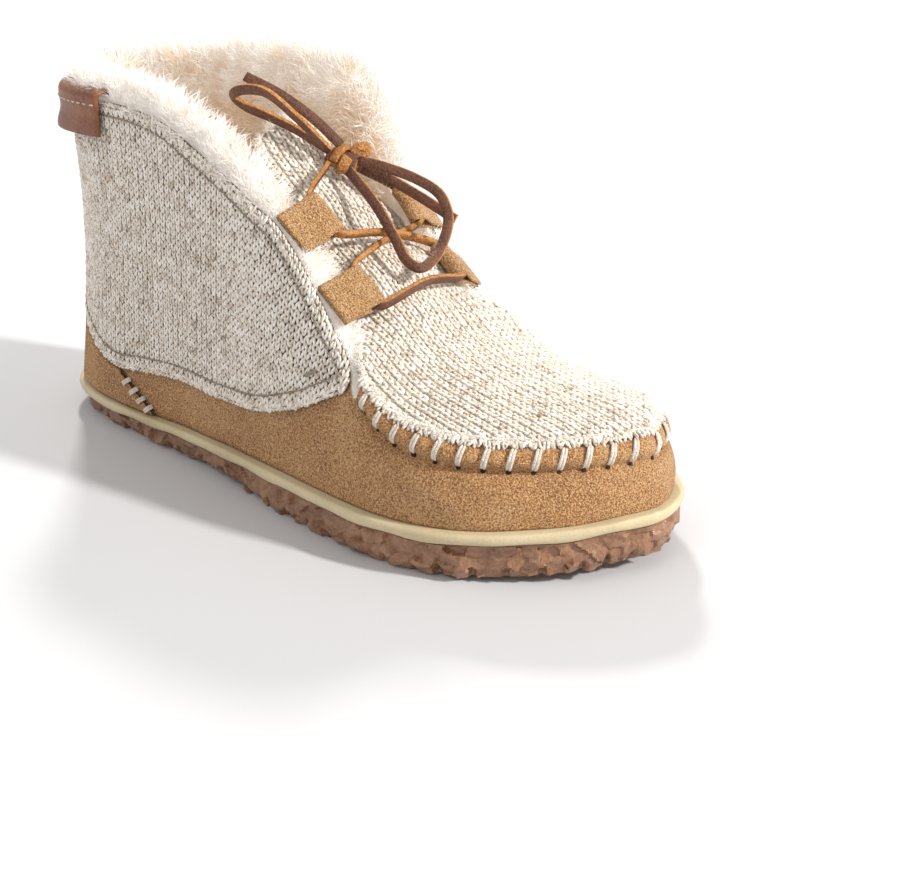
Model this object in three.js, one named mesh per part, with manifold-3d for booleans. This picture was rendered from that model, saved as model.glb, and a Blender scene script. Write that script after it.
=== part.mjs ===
// Right ankle boot of moccasin make: rubber sole, suede body, knitted quarters and pile collar.
// Millimetres, +X to the toe, +Y to the inner (medial) side, +Z up; the floor is z = 0.
import * as THREE from 'three';
import { mergeVertices } from 'three/addons/utils/BufferGeometryUtils.js';
import Module from 'manifold-3d';

const wasm = await Module();
wasm.setup();

// Sole sizes
const TOE_SPRING = 5.5;
const SPRING_START = 60;
const SPRING_RUN = 70;
const HEEL_STACK = 10.5;
const FORE_STACK = 16;
const STACK_RISE_FROM = -90;
const STACK_RISE_TO = 40;
const HEEL_BAND = 3.2;
const FORE_BAND = 3.8;
const ARCH_RISE = 1.8;
const ARCH_FROM = -62;
const ARCH_TO = 12;
const HEEL_BEVEL = 1.6;
const BEVEL_FROM = -105;
const LUG_COUNT = 56;
const LUG_DEPTH = 2.4;
const LUG_NOTCH = 1.8;
const WAVE_COUNT = 26;
const WAVE_HEIGHT = 0.9;
const CHISEL = 1.1;
const TREAD_RIM = 9;
const BAR_WIDTH = 6.5;
const BAR_SPAN = 46;
const HEEL_BARS = [-100, -87, -74];
const BALL_BARS = [18, 31, 44, 57];

// Upper sizes
const GAP = 0.3;
const WALL = 3;
const OVERLAY_SET = 0.42;
const UPPER_SET = 2.8;
const LEAN_POWER = 1.3;
const ARCH_POWER = 2.2;
const KNIT = 2.4;
const SUEDE = 1.5;
const PILE = 7;
const PILE_OVER = 5;
const PILE_UNDER = 26;
const PILE_SET = 0.5;
const INSOLE = 3;
const TONGUE = 2.6;
const HEEL_AXIS = -3.3;
const SPLIT = -2;
const PLUG_EDGE = 0.09;
const PLUG_FROM = 10.2;
const PLUG_STEP = 0.68;
const PLUG_NECK = [[46, 22], [42.5, 22], [42.5, -24], [46, -24]];
const THROAT_END = 47;
const THROAT = { x: [-60, THROAT_END], y: [-29, 27], floor: 45 };
const FAR = 170;

// The last, heel to toe. x, lateral, medial: the sole's edge; spine: x of the crest line;
// shoulderL, shoulderM, crest: heights; leanL, leanM: inward lean of the wall at the shoulder;
// waist: inward hollow at mid wall; seam: share of the raised toe seam.
const LAST_COLUMNS = [
  'x', 'lateral', 'medial', 'spine', 'shoulderL', 'shoulderM', 'crest', 'leanL', 'leanM', 'waist', 'seam',
];
const LAST = [
  [-130, -3.3, -3.3, -92, 136, 136, 148, 2, 2, 4.4, 0],
  [-126, -18.9, 12.3, -90, 136, 136, 148, 2, 2, 4.6, 0],
  [-116, -30.3, 23.7, -86, 136, 136, 148, 2.6, 2.2, 4.8, 0],
  [-100, -36.6, 30, -80, 136, 136, 148, 3.6, 2.2, 4.2, 0],
  [-80, -38.7, 32.1, -70, 136, 136, 148, 4.8, 2, 3, 0],
  [-50, -39.3, 30.3, -48, 136, 136, 148, 5.4, -0.8, 1.2, 0],
  [-20, -42.1, 30, -20, 132, 134, 142, 7.4, -4, 0, 0],
  [0, -44.8, 33.2, -1, 109, 110, 114, 9, -1, -0.5, 0],
  [15, -46.7, 36.4, 14, 92, 91, 95, 10.6, 1.8, -1, 0],
  [30, -48.2, 40.3, 29, 73, 72, 76, 11, 5.1, -1.2, 0],
  [45, -49, 44.5, 45, 56, 54, 60.5, 8.9, 7.1, -1.5, 0],
  [60, -48.7, 47.1, 59, 46.8, 44.5, 53, 7.5, 7, -1.6, 1],
  [75, -46, 48.7, 73, 43.8, 41.5, 50, 6.8, 6.8, -1.7, 1],
  [90, -40.5, 48, 85, 42.8, 40.4, 48, 6.5, 6.5, -1.8, 1],
  [105, -30.3, 43.3, 93, 42.7, 41.2, 47.2, 6.3, 6.3, -1.8, 1],
  [118, -16.6, 33.6, 97, 43, 42.6, 46.8, 6.2, 6.2, -1.8, 1],
  [126, -2.5, 23.3, 99, 43, 43, 46.7, 6.2, 6.2, -1.8, 1],
  [130, 9.7, 9.7, 100, 43, 43, 46.6, 6.2, 6.2, -1.8, 1],
].map((row) => Object.fromEntries(LAST_COLUMNS.map((name, i) => [name, row[i]])));

// Levels up the wall and over the top. wall: share of the wall's height; over: share of the way
// from shoulder to crest line; rise: height of the rolled toe seam; roll: only in the rolled form.
const LEVELS = [
  { wall: 0, over: 0, rise: 0, roll: false },
  { wall: 0.22, over: 0, rise: 0, roll: false },
  { wall: 0.46, over: 0, rise: 0, roll: false },
  { wall: 0.68, over: 0, rise: 0, roll: false },
  { wall: 0.84, over: 0, rise: 0.4, roll: false },
  { wall: 0.93, over: 0, rise: 1.5, roll: true },
  { wall: 1, over: 0, rise: 1.9, roll: false },
  { wall: 1, over: 0.05, rise: 0.2, roll: true },
  { wall: 1, over: 0.2, rise: 0, roll: false },
  { wall: 1, over: 0.5, rise: 0, roll: false },
  { wall: 1, over: 1, rise: 0, roll: false },
];
const PLAIN_LEVELS = LEVELS.filter(({ roll }) => !roll);

// Side-view lines, x and z: the collar and front edge of each quarter, back to front.
const COLLAR_LATERAL = [
  [-140, 119.5], [-112, 119.5], [-90, 120.5], [-70, 120.8], [-51, 118.5], [-34, 112.7],
  [-16, 106.3], [-3, 100], [7, 95.3], [17, 86], [23, 79], [33.5, 67], [41.6, 58.5], [44.5, 51],
];
const COLLAR_MEDIAL = [
  [-140, 119.5], [-112, 119.5], [-90, 121.5], [-68, 124.5], [-45, 127], [-25, 126.5],
  [-13, 122], [-6, 113.5], [-4, 103], [2, 92], [11, 80], [25, 65.5], [36, 57], [44.5, 51],
];
// Lower edge of both quarters, heel to front corner, and the counter's front seam.
const QUARTER_HEM = [
  [-140, 48], [-128, 47], [-119, 43.4], [-110, 34.5], [-95, 26.6], [-83, 24.3], [-67, 26.8],
  [-43, 29.7], [-20, 30.6], [3, 33.2], [23, 40], [34.5, 45.7], [44.5, 51],
];
const COUNTER_TOE = [[-62, 12.5], [-60, 0]];
const HEM_COUNTER_POINTS = 11;

// Tongue, bottom to top. x, z: crest line of its face; lateral, medial: its edges; sag: fall at an edge.
const TONGUE_ROWS = [
  { x: 46, z: 63, lateral: -23, medial: 21, sag: 3 },
  { x: 42, z: 66, lateral: -25, medial: 23, sag: 5.2 },
  { x: 33, z: 72.8, lateral: -27, medial: 25, sag: 6.6 },
  { x: 17, z: 85.2, lateral: -25.5, medial: 22.5, sag: 7 },
  { x: 0, z: 99.5, lateral: -21.5, medial: 18.5, sag: 7 },
  { x: -12, z: 110.5, lateral: -19.5, medial: 16, sag: 6 },
  { x: -21, z: 118.5, lateral: -15, medial: 12, sag: 4 },
];

// Lace tabs. root: middle of the sewn end; reach: to the fold; across: along the throat, upwards.
const TABS = {
  lace_tab_lateral_lower: { root: [29.8, -33.7, 73], reach: [2, 16.5, 4], across: [-12, 0, 10] },
  lace_tab_lateral_upper: { root: [11, -32.8, 92], reach: [1.5, 16.5, 5], across: [-11, 0, 11] },
  lace_tab_medial_lower: { root: [25.6, 32.2, 67.9], reach: [2.8, -13.4, 7.7], across: [-12, 0, 8.5] },
  lace_tab_medial_upper: { root: [9.5, 31.5, 85.5], reach: [2, -15, 6.5], across: [-10, 0, 8.5] },
};
const TAB_WIDTH = 15;
const TAB_SHEET = 2.6;
const TAB_REACH = 13.5;
const TAB_LOOP = 4;
const TAB_HOLE = 2.8;

// Lace routes, chosen by hand; the knot sits over the tongue.
const LACE_WIDE = 3.6;
const LACE_THICK = 2.6;
const KNOT = [-1.5, 2.5, 108.2];
const KNOT_RADIUS = 5.1;
const LACE_LOOP_1 = [
  [-5.2, 0.7, 110.7], [-14, -5, 117], [-23, -10, 121.4], [-31, -14, 124.6], [-33, -16.5, 127.6],
  [-29, -17, 130.2], [-21, -13.5, 130.4], [-11, -8, 122], [-3, -3, 113],
];
const LACE_LOOP_2 = [
  [4, 5, 108.4], [12, 8.5, 107], [22, 13, 104], [30.5, 15.5, 99.6], [35, 14.5, 93], [37.2, 10, 87],
  [38.4, 4, 82.4], [37.6, -1.5, 80.4], [33.6, -3.4, 82.4], [28, -2.6, 87.8], [17.5, -1.6, 97.8], [4, 0, 106],
];
const LACE_END_1 = [[-4.1, 4.4, 112.4], [-12, 0, 120.5], [-22, -5.5, 128], [-34, -10, 133]];
const LACE_END_2 = [[3.6, 7.4, 106.4], [12, 12.5, 101.6], [23, 17, 96], [33, 20, 91]];

// Pull tab, a strap folded over the collar behind the lateral ankle: last rows it runs between, then its
// section as distance out from the wall and height over the collar. Its lower edge stands off at the back.
const PULL_TAB_ROWS = [1.4, 3.85];
const PULL_TAB = [
  [3.2, -11], [5.2, -11.4], [5.3, 1.4], [4, 3.2], [-1.8, 3.2], [-2.4, 2.4], [-2.4, 0.4], [3.2, 0.4],
];
const PULL_TAB_FLARE = 2.5;

const mix = (a, b, t) => a + (b - a) * t;
const clamp = (v) => Math.min(Math.max(v, 0), 1);
const smooth = (a, b, v) => {
  const t = clamp((v - a) / (b - a));
  return t * t * (3 - 2 * t);
};
const vec = (p) => new THREE.Vector3(...p);

// Heights of the sole
const toeSpring = (x) => TOE_SPRING * Math.max((x - SPRING_START) / SPRING_RUN, 0) ** 1.8;
const foreShare = (x) => smooth(STACK_RISE_FROM, STACK_RISE_TO, x);
const soleTop = (x) => toeSpring(x) + mix(HEEL_STACK, FORE_STACK, foreShare(x));
const bandThickness = (x) => mix(HEEL_BAND, FORE_BAND, foreShare(x));
const archRise = (x) => ARCH_RISE * Math.sin(Math.PI * clamp((x - ARCH_FROM) / (ARCH_TO - ARCH_FROM))) ** 2;
const heelBevel = (x) => HEEL_BEVEL * Math.max((BEVEL_FROM - x) / (130 + BEVEL_FROM), 0) ** 2;
const soleFloor = (x) => toeSpring(x) + archRise(x) + heelBevel(x);

// The sole's edge: a closed curve through the last's rows, lateral side first.
const LAST_STEP = LAST.length - 1;
const edgeCurve = new THREE.CatmullRomCurve3(
  [
    ...LAST.map((row) => vec([row.x, row.lateral, 0])),
    ...LAST.slice(1, -1).reverse().map((row) => vec([row.x, row.medial, 0])),
  ],
  true, 'catmullrom', 0.5,
);
edgeCurve.arcLengthDivisions = 800;

function edgeAt(t, inset) {
  const point = edgeCurve.getPoint(t);
  const tangent = edgeCurve.getTangent(t);
  return new THREE.Vector3(point.x - tangent.y * inset, point.y + tangent.x * inset, 0);
}

// A column of the last at a fractional row, by the same kind of curve as the edge.
function lastAt(row, key) {
  const i = Math.min(Math.floor(row), LAST_STEP - 1);
  const t = row - i;
  const p = [-1, 0, 1, 2].map((d) => LAST[Math.min(Math.max(i + d, 0), LAST_STEP)][key]);
  const slope0 = (p[2] - p[0]) / 2;
  const slope1 = (p[3] - p[1]) / 2;
  const cubic = 2 * p[1] - 2 * p[2] + slope0 + slope1;
  const square = -3 * p[1] + 3 * p[2] - 2 * slope0 - slope1;
  return ((cubic * t + square) * t + slope0) * t + p[1];
}

// Indexed triangles as a solid for cutting and joining, and back.
function toSolid(geometry) {
  geometry.deleteAttribute('normal');
  geometry.deleteAttribute('uv');
  const merged = mergeVertices(geometry, 1e-4);
  const mesh = new wasm.Mesh({
    numProp: 3,
    vertProperties: new Float32Array(merged.attributes.position.array),
    triVerts: new Uint32Array(merged.index.array),
  });
  return new wasm.Manifold(mesh);
}

function toGeometry(solid) {
  const mesh = solid.getMesh();
  const geometry = new THREE.BufferGeometry();
  geometry.setAttribute('position', new THREE.BufferAttribute(new Float32Array(mesh.vertProperties), 3));
  geometry.setIndex(new THREE.BufferAttribute(new Uint32Array(mesh.triVerts), 1));
  geometry.computeVertexNormals();
  return geometry;
}

function indexed(points, faces) {
  const geometry = new THREE.BufferGeometry();
  const flat = points.flatMap((p) => [p.x, p.y, p.z]);
  geometry.setAttribute('position', new THREE.Float32BufferAttribute(flat, 3));
  geometry.setIndex(faces.flat());
  return geometry;
}

// The largest of the closed bodies that a join leaves.
const mainBody = (solid) => solid.decompose().sort((a, b) => b.volume() - a.volume())[0];

const quad = (a, b, c, d) => [[a, b, c], [a, c, d]];

// Closing strips between the two sides of a ring of n points that starts at the heel.
function stripCap(n, first, up) {
  const faces = [];
  const other = (k) => (n - k) % n;
  for (let k = 0; k < n / 2; k += 1) {
    const near = [first + k, first + k + 1];
    const far = [first + other(k), first + other(k + 1)];
    const ring = up ? [near[0], near[1], far[1], far[0]] : [near[0], far[0], far[1], near[1]];
    faces.push(...quad(...ring).filter((f) => new Set(f).size === 3));
  }
  return faces;
}

// A solid from rings of equal length, lowest first.
function ringsSolid(rings) {
  const n = rings[0].length;
  const faces = [...stripCap(n, 0, false), ...stripCap(n, n * (rings.length - 1), true)];
  for (let r = 0; r + 1 < rings.length; r += 1) {
    for (let k = 0; k < n; k += 1) {
      const next = (k + 1) % n;
      faces.push(...quad(r * n + k, r * n + next, (r + 1) * n + next, (r + 1) * n + k));
    }
  }
  return toSolid(indexed(rings.flat(), faces));
}

// One point of the upper: side of the loop and height level. The loop counts rows: heel, lateral,
// toe, medial.
function upperPoint(loopRow, level) {
  const medial = loopRow > LAST_STEP;
  const row = medial ? 2 * LAST_STEP - loopRow : loopRow;
  const t = loopRow / (2 * LAST_STEP);
  const lean = lastAt(row, medial ? 'leanM' : 'leanL');
  const hollow = lastAt(row, 'waist') * Math.sin(Math.PI * level.wall);
  const inset = UPPER_SET + lean * level.wall ** LEAN_POWER + hollow;
  const point = edgeAt(t, inset);
  const base = soleTop(edgeAt(t, UPPER_SET).x) + GAP;
  const shoulder = lastAt(row, medial ? 'shoulderM' : 'shoulderL');
  const arch = 1 - (1 - level.over) ** ARCH_POWER;
  const middle = (lastAt(row, 'lateral') + lastAt(row, 'medial')) / 2;
  point.x = mix(point.x, lastAt(row, 'spine'), level.over);
  point.y = mix(point.y, middle, level.over);
  point.z = mix(base, shoulder, level.wall) + (lastAt(row, 'crest') - shoulder) * arch;
  return point;
}

const STEPS_PER_ROW = 2;
const LOOP = 2 * LAST_STEP * STEPS_PER_ROW;

// The filled form of the upper, grown by an offset; a skirt can run below its rim to cut through.
function form(offset, { raised = 0, skirt = 0 } = {}) {
  const levels = raised ? LEVELS : PLAIN_LEVELS;
  const points = [];
  const rises = [];
  for (const level of levels.slice(0, -1)) {
    for (let k = 0; k < LOOP; k += 1) {
      const row = k / STEPS_PER_ROW;
      points.push(upperPoint(row, level));
      rises.push(level.rise * raised * clamp(lastAt(row > LAST_STEP ? 2 * LAST_STEP - row : row, 'seam')));
    }
  }
  const spine = points.length;
  for (let k = 0; k <= LOOP / 2; k += 1) {
    points.push(upperPoint(k / STEPS_PER_ROW, levels.at(-1)));
    rises.push(0);
  }
  const faces = [];
  const bands = levels.length - 1;
  const onSpine = (k) => spine + (k > LOOP / 2 ? LOOP - k : k);
  for (let b = 0; b < bands; b += 1) {
    for (let k = 0; k < LOOP; k += 1) {
      const next = (k + 1) % LOOP;
      const top = b + 1 < bands ? [(b + 1) * LOOP + next, (b + 1) * LOOP + k] : [onSpine(next), onSpine(k)];
      faces.push(...quad(b * LOOP + k, b * LOOP + next, ...top));
    }
  }
  const skin = indexed(points, faces);
  skin.computeVertexNormals();
  const normals = skin.attributes.normal;
  points.forEach((p, i) => {
    p.addScaledVector(new THREE.Vector3().fromBufferAttribute(normals, i), offset + rises[i]);
    if (i < LOOP) p.z = soleTop(p.x) + GAP - (skirt ? SKIRT_DROP : 0);
  });
  const low = skirt ? points.length : 0;
  if (skirt) {
    for (let k = 0; k < LOOP; k += 1) {
      const next = (k + 1) % LOOP;
      points.push(points[k].clone().setZ(points[k].z - skirt));
      faces.push(...quad(low + k, low + next, next, k));
    }
  }
  return toSolid(indexed(points, [...faces, ...stripCap(LOOP, low, false)]));
}

// A smooth side-view line through a few points.
function sideLine(rows, samples = 2) {
  const curve = new THREE.SplineCurve(rows.map(([x, z]) => new THREE.Vector2(x, z)));
  return curve.getPoints((rows.length - 1) * samples).map((p) => [p.x, p.y]);
}

// A side-view outline, run across the boot from y0 to y1.
function sidePrism(outline, y0, y1) {
  const shape = new THREE.Shape(outline.map(([x, z]) => new THREE.Vector2(x, z)));
  const geometry = new THREE.ExtrudeGeometry(shape, { depth: y1 - y0, bevelEnabled: false });
  geometry.rotateX(Math.PI / 2);
  geometry.translate(0, y1, 0);
  return toSolid(geometry);
}

// Height of a collar line at x.
function lineHeight(rows, x) {
  const i = Math.max(rows.findIndex(([rx]) => rx > x), 1);
  const [a, b] = [rows[i - 1], rows[i]];
  return mix(a[1], b[1], clamp((x - a[0]) / (b[0] - a[0])));
}

// Midsole and outsole: rings along the sole's edge, evenly spaced round it.
const RIM = LUG_COUNT * 3;
const rimTurn = (k) => edgeCurve.getUtoTmapping(k / RIM);
const wave = (k) => WAVE_HEIGHT * Math.sin((2 * Math.PI * WAVE_COUNT * k) / RIM);
const scatter = (k) => Math.sin(k * 12.9898) * 43758.5453;
const chisel = (k) => CHISEL * (scatter(k) - Math.floor(scatter(k)));

function rimRing(inset, height) {
  return Array.from({ length: RIM }, (_, k) => {
    const point = edgeAt(rimTurn(k), inset(k));
    point.z = height(point.x, k);
    return point;
  });
}

const isNotch = (k) => (k % 3 === 2 ? 1 : 0);
const joint = (x, k) => soleTop(x) - bandThickness(x) + wave(k);

function outsole() {
  const heelTuck = (k) => mix(2, 0.3, foreShare(edgeAt(rimTurn(k), 0).x));
  let solid = ringsSolid([
    rimRing(() => TREAD_RIM, (x) => soleFloor(x) + LUG_DEPTH),
    rimRing((k) => heelTuck(k) + isNotch(k) * LUG_NOTCH, (x, k) => soleFloor(x) + isNotch(k) * LUG_DEPTH),
    rimRing((k) => chisel(k), (x, k) => mix(soleFloor(x), joint(x, k), 0.5 + 0.12 * chisel(k + 1))),
    rimRing(() => 0.4, (x, k) => joint(x, k) - GAP / 2),
  ]);
  for (const x of [...HEEL_BARS, ...BALL_BARS]) {
    const bar = new THREE.BoxGeometry(BAR_WIDTH, BAR_SPAN, LUG_DEPTH + 1);
    bar.translate(x, x < 0 ? HEEL_AXIS : -1, (LUG_DEPTH + 1) / 2);
    solid = solid.add(toSolid(bar));
  }
  return solid;
}

function midsole() {
  return ringsSolid([
    rimRing(() => 0.4, (x, k) => joint(x, k) + GAP / 2),
    rimRing(() => -0.3, (x) => soleTop(x) - 0.9),
    rimRing(() => 1, (x) => soleTop(x)),
  ]);
}

function insole() {
  const inset = UPPER_SET + WALL + 3 * GAP;
  const ring = (height) => rimRing(() => inset, (x) => soleTop(x) + height).filter((_, k) => k % 3 === 0);
  return ringsSolid([ring(GAP), ring(GAP + INSOLE)]);
}

// Upper: the form less its inside, the collar and the throat.
const SKIRT = 9;
const SKIRT_DROP = 0.6;

function collarCut(line, y0, y1) {
  const kept = line.filter(([x]) => x < THROAT_END - 5);
  const throat = [[THROAT_END, lineHeight(line, THROAT_END - 5)], [THROAT_END, FAR], [-140, FAR]];
  return sidePrism([...sideLine(kept), ...throat], y0, y1);
}

const throatCut = () => {
  const [back, front] = THROAT.x;
  return sidePrism([[back, THROAT.floor], [front, THROAT.floor], [front, FAR], [back, FAR]], ...THROAT.y);
};

function upper() {
  return form(0, { raised: 1 })
    .subtract(form(-WALL, { skirt: SKIRT }))
    .subtract(throatCut())
    .subtract(collarCut(COLLAR_LATERAL, -FAR, SPLIT))
    .subtract(collarCut(COLLAR_MEDIAL, SPLIT - 0.1, FAR));
}

// Overlays cut between two larger forms.
const shell = (inner, outer) => form(outer).subtract(form(inner, { skirt: SKIRT }));

function quarter(line, y0, y1) {
  const hem = sideLine(QUARTER_HEM).reverse();
  const cut = sidePrism([...sideLine(line), ...hem.slice(1)], y0, y1);
  return shell(OVERLAY_SET, OVERLAY_SET + KNIT).intersect(cut).subtract(throatCut());
}

function heelCounter() {
  const top = sideLine(QUARTER_HEM).slice(0, HEM_COUNTER_POINTS).map(([x, z]) => [x, z - 2 * GAP]);
  const outline = [...top.reverse(), [-140, 0], ...[...COUNTER_TOE].reverse()];
  return shell(OVERLAY_SET, OVERLAY_SET + SUEDE).intersect(sidePrism(outline, -FAR, FAR));
}

// Pile collar: a thick band inside the wall that stands over the edge, with locks round its top.
const LOCK_ROWS = [-6.3, 6.5];
const LOCK_COUNT = 26;
const LOCK_SIDES = 4;
const LOCK_RADIUS = 3;
const LOCK_LENGTH = 12;
const PILE_FRONT = 3;
const PILE_THROAT = { x: [-45, 20], y: [-21.5, 20] };

function pileBand() {
  let band = form(-WALL - PILE_SET).subtract(form(-WALL - PILE_SET - PILE, { skirt: SKIRT }));
  const sides = [[COLLAR_LATERAL, -FAR, HEEL_AXIS], [COLLAR_MEDIAL, HEEL_AXIS - 0.1, FAR]];
  for (const [line, y0, y1] of sides) {
    const edge = line.filter(([x]) => x < PILE_FRONT);
    const front = edge.at(-1)[0];
    const above = [...edge.map(([x, z]) => [x, z + PILE_OVER]), [front, FAR], [-FAR, FAR]];
    const below = [...edge.map(([x, z]) => [x, z - PILE_UNDER]), [front, -FAR], [-FAR, -FAR]];
    const ahead = [[front, -FAR], [FAR, -FAR], [FAR, FAR], [front, FAR]];
    for (const outline of [above, below, ahead]) band = band.subtract(sidePrism(outline, y0, y1));
  }
  return band;
}

function lock(index) {
  const turn = mix(LOCK_ROWS[0], LOCK_ROWS[1], index / (LOCK_COUNT - 1));
  const loopRow = turn > 0 ? 2 * LAST_STEP - turn : -turn;
  const line = turn > 0 ? COLLAR_MEDIAL : COLLAR_LATERAL;
  const row = Math.abs(turn);
  const x = edgeAt(loopRow / (2 * LAST_STEP), UPPER_SET).x;
  const height = lineHeight(line, x) + PILE_OVER - 2.5;
  const wall = (height - soleTop(x)) / (lastAt(row, turn > 0 ? 'shoulderM' : 'shoulderL') - soleTop(x));
  const on = upperPoint(loopRow, { wall: Math.min(wall, 1), over: 0 });
  const tangent = edgeCurve.getTangent(loopRow / (2 * LAST_STEP));
  const inward = new THREE.Vector3(-tangent.y, tangent.x, 0);
  on.addScaledVector(inward, WALL + PILE_SET + PILE / 2);
  const lean = new THREE.Vector3().addScaledVector(inward, index % 2 ? 0.35 : -0.1);
  lean.addScaledVector(tangent, 0.5 * Math.sin(index * 2.4)).add(vec([0, 0, 1])).normalize();
  const cone = new THREE.ConeGeometry(LOCK_RADIUS, LOCK_LENGTH, LOCK_SIDES);
  cone.translate(0, LOCK_LENGTH / 4, 0);
  cone.applyQuaternion(new THREE.Quaternion().setFromUnitVectors(vec([0, 1, 0]), lean));
  cone.translate(on.x, on.y, on.z);
  return toSolid(cone);
}

function pileCollar() {
  let solid = pileBand();
  for (let i = 0; i < LOCK_COUNT; i += 1) solid = solid.add(lock(i));
  const { x, y } = PILE_THROAT;
  const throat = [[x[0], 0], [x[1], 0], [x[1], FAR], [x[0], FAR]];
  return mainBody(solid.subtract(sidePrism(throat, ...y)));
}

// Toe plug and tongue, one knitted piece: a cap over the toe inside the seam, then a crowned sheet.
function toePlug() {
  const edge = [];
  for (let row = PLUG_FROM; row <= 2 * LAST_STEP - PLUG_FROM; row += PLUG_STEP) {
    const point = upperPoint(row, { wall: 1, over: PLUG_EDGE });
    edge.push(new THREE.Vector2(point.x, point.y));
  }
  const neck = PLUG_NECK.map(([x, y]) => new THREE.Vector2(x, y));
  const outline = new THREE.Shape([...edge, ...neck]);
  const geometry = new THREE.ExtrudeGeometry(outline, { depth: FAR, bevelEnabled: false });
  return shell(OVERLAY_SET, OVERLAY_SET + KNIT).intersect(toSolid(geometry));
}

function tongueSheet() {
  const columns = 8;
  const faceRing = [];
  const backRing = [];
  TONGUE_ROWS.forEach((row, i) => {
    const before = TONGUE_ROWS[Math.max(i - 1, 0)];
    const after = TONGUE_ROWS[Math.min(i + 1, TONGUE_ROWS.length - 1)];
    const normal = vec([after.z - before.z, 0, before.x - after.x]).normalize();
    const middle = (row.lateral + row.medial) / 2;
    const half = (row.medial - row.lateral) / 2;
    for (let c = 0; c <= columns; c += 1) {
      const across = mix(-1, 1, c / columns);
      const point = vec([row.x, middle + half * across, row.z]);
      point.addScaledVector(normal, -row.sag * across ** 2);
      faceRing.push(point);
      backRing.push(point.clone().addScaledVector(normal, -TONGUE));
    }
  });
  const wide = columns + 1;
  const rows = TONGUE_ROWS.length;
  const back = wide * rows;
  const faces = [];
  for (let r = 0; r + 1 < rows; r += 1) {
    for (let c = 0; c < columns; c += 1) {
      const a = r * wide + c;
      faces.push(...quad(a, a + 1, a + wide + 1, a + wide));
      faces.push(...quad(back + a, back + a + wide, back + a + wide + 1, back + a + 1));
    }
    const [l, m] = [r * wide, r * wide + columns];
    faces.push(...quad(l, l + wide, back + l + wide, back + l));
    faces.push(...quad(m, back + m, back + m + wide, m + wide));
  }
  for (let c = 0; c < columns; c += 1) {
    const top = (rows - 1) * wide + c;
    faces.push(...quad(c, back + c, back + c + 1, c + 1));
    faces.push(...quad(top, top + 1, back + top + 1, back + top));
  }
  return toSolid(indexed([...faceRing, ...backRing], faces));
}

// Lace tabs: a doubled strip with a round fold that the lace runs through.
function tabFrame({ root, reach, across }) {
  const along = vec(reach).normalize();
  const wide = vec(across).addScaledVector(along, -vec(across).dot(along)).normalize();
  const out = new THREE.Vector3().crossVectors(along, wide);
  if (out.x < 0) out.negate();
  const origin = vec(root).addScaledVector(out, TAB_SHEET / 2 + GAP + 0.1);
  return { along, wide, out, fold: origin.clone().addScaledVector(along, TAB_REACH), origin };
}

function laceTab(row) {
  const { along, wide, out, origin } = tabFrame(row);
  const half = TAB_SHEET / 2;
  const shape = new THREE.Shape();
  const join = Math.asin(half / TAB_LOOP);
  shape.moveTo(0, half);
  shape.lineTo(0, -half);
  shape.lineTo(TAB_REACH - TAB_LOOP * Math.cos(join), -half);
  shape.absarc(TAB_REACH, 0, TAB_LOOP, Math.PI + join, 3 * Math.PI - join, false);
  shape.lineTo(0, half);
  const hole = new THREE.Path();
  hole.absarc(TAB_REACH, 0, TAB_HOLE, 0, 2 * Math.PI, true);
  shape.holes.push(hole);
  const run = { depth: TAB_WIDTH, bevelEnabled: false, curveSegments: 7 };
  const geometry = new THREE.ExtrudeGeometry(shape, run);
  geometry.translate(0, 0, -TAB_WIDTH / 2);
  const side = new THREE.Vector3().crossVectors(along, out);
  geometry.applyMatrix4(new THREE.Matrix4().makeBasis(along, out, side).setPosition(origin));
  return toSolid(geometry);
}

// Lace: a thong of rounded section along a smooth route.
function thong(points, steps) {
  const section = new THREE.Shape();
  for (let i = 0; i < 8; i += 1) {
    const angle = ((i + 0.5) * Math.PI) / 4;
    const [u, v] = [0.54 * LACE_THICK * Math.cos(angle), 0.54 * LACE_WIDE * Math.sin(angle)];
    section[i ? 'lineTo' : 'moveTo'](u, v);
  }
  const route = points.map((p) => (p.isVector3 ? p : vec(p)));
  const path = new THREE.CatmullRomCurve3(route, false, 'centripetal');
  return toSolid(new THREE.ExtrudeGeometry(section, { steps, extrudePath: path, bevelEnabled: false }));
}

function laceCrossings() {
  const end = (name, share) => {
    const { fold, wide } = tabFrame(TABS[name]);
    return fold.clone().addScaledVector(wide, (share * TAB_WIDTH) / 2);
  };
  const through = (name, up) => [-1.35, -1, 1, 1.35].map((share) => end(name, up ? share : -share));
  const points = [
    vec([-2.4, -3.6, 107.4]),
    ...through('lace_tab_lateral_upper', false),
    vec([21.3, 0, 89]),
    ...through('lace_tab_medial_lower', false),
    vec([39.2, 0, 76.4]),
    ...through('lace_tab_lateral_lower', true),
    vec([20, 0, 85.2]),
    ...through('lace_tab_medial_upper', true),
    vec([-2, 8.4, 105.4]),
  ];
  return thong(points, 33);
}

function laceKnot() {
  const knot = new THREE.SphereGeometry(KNOT_RADIUS, 10, 8);
  knot.scale(0.8, 1, 0.9);
  knot.translate(...KNOT);
  return toSolid(knot);
}

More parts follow.
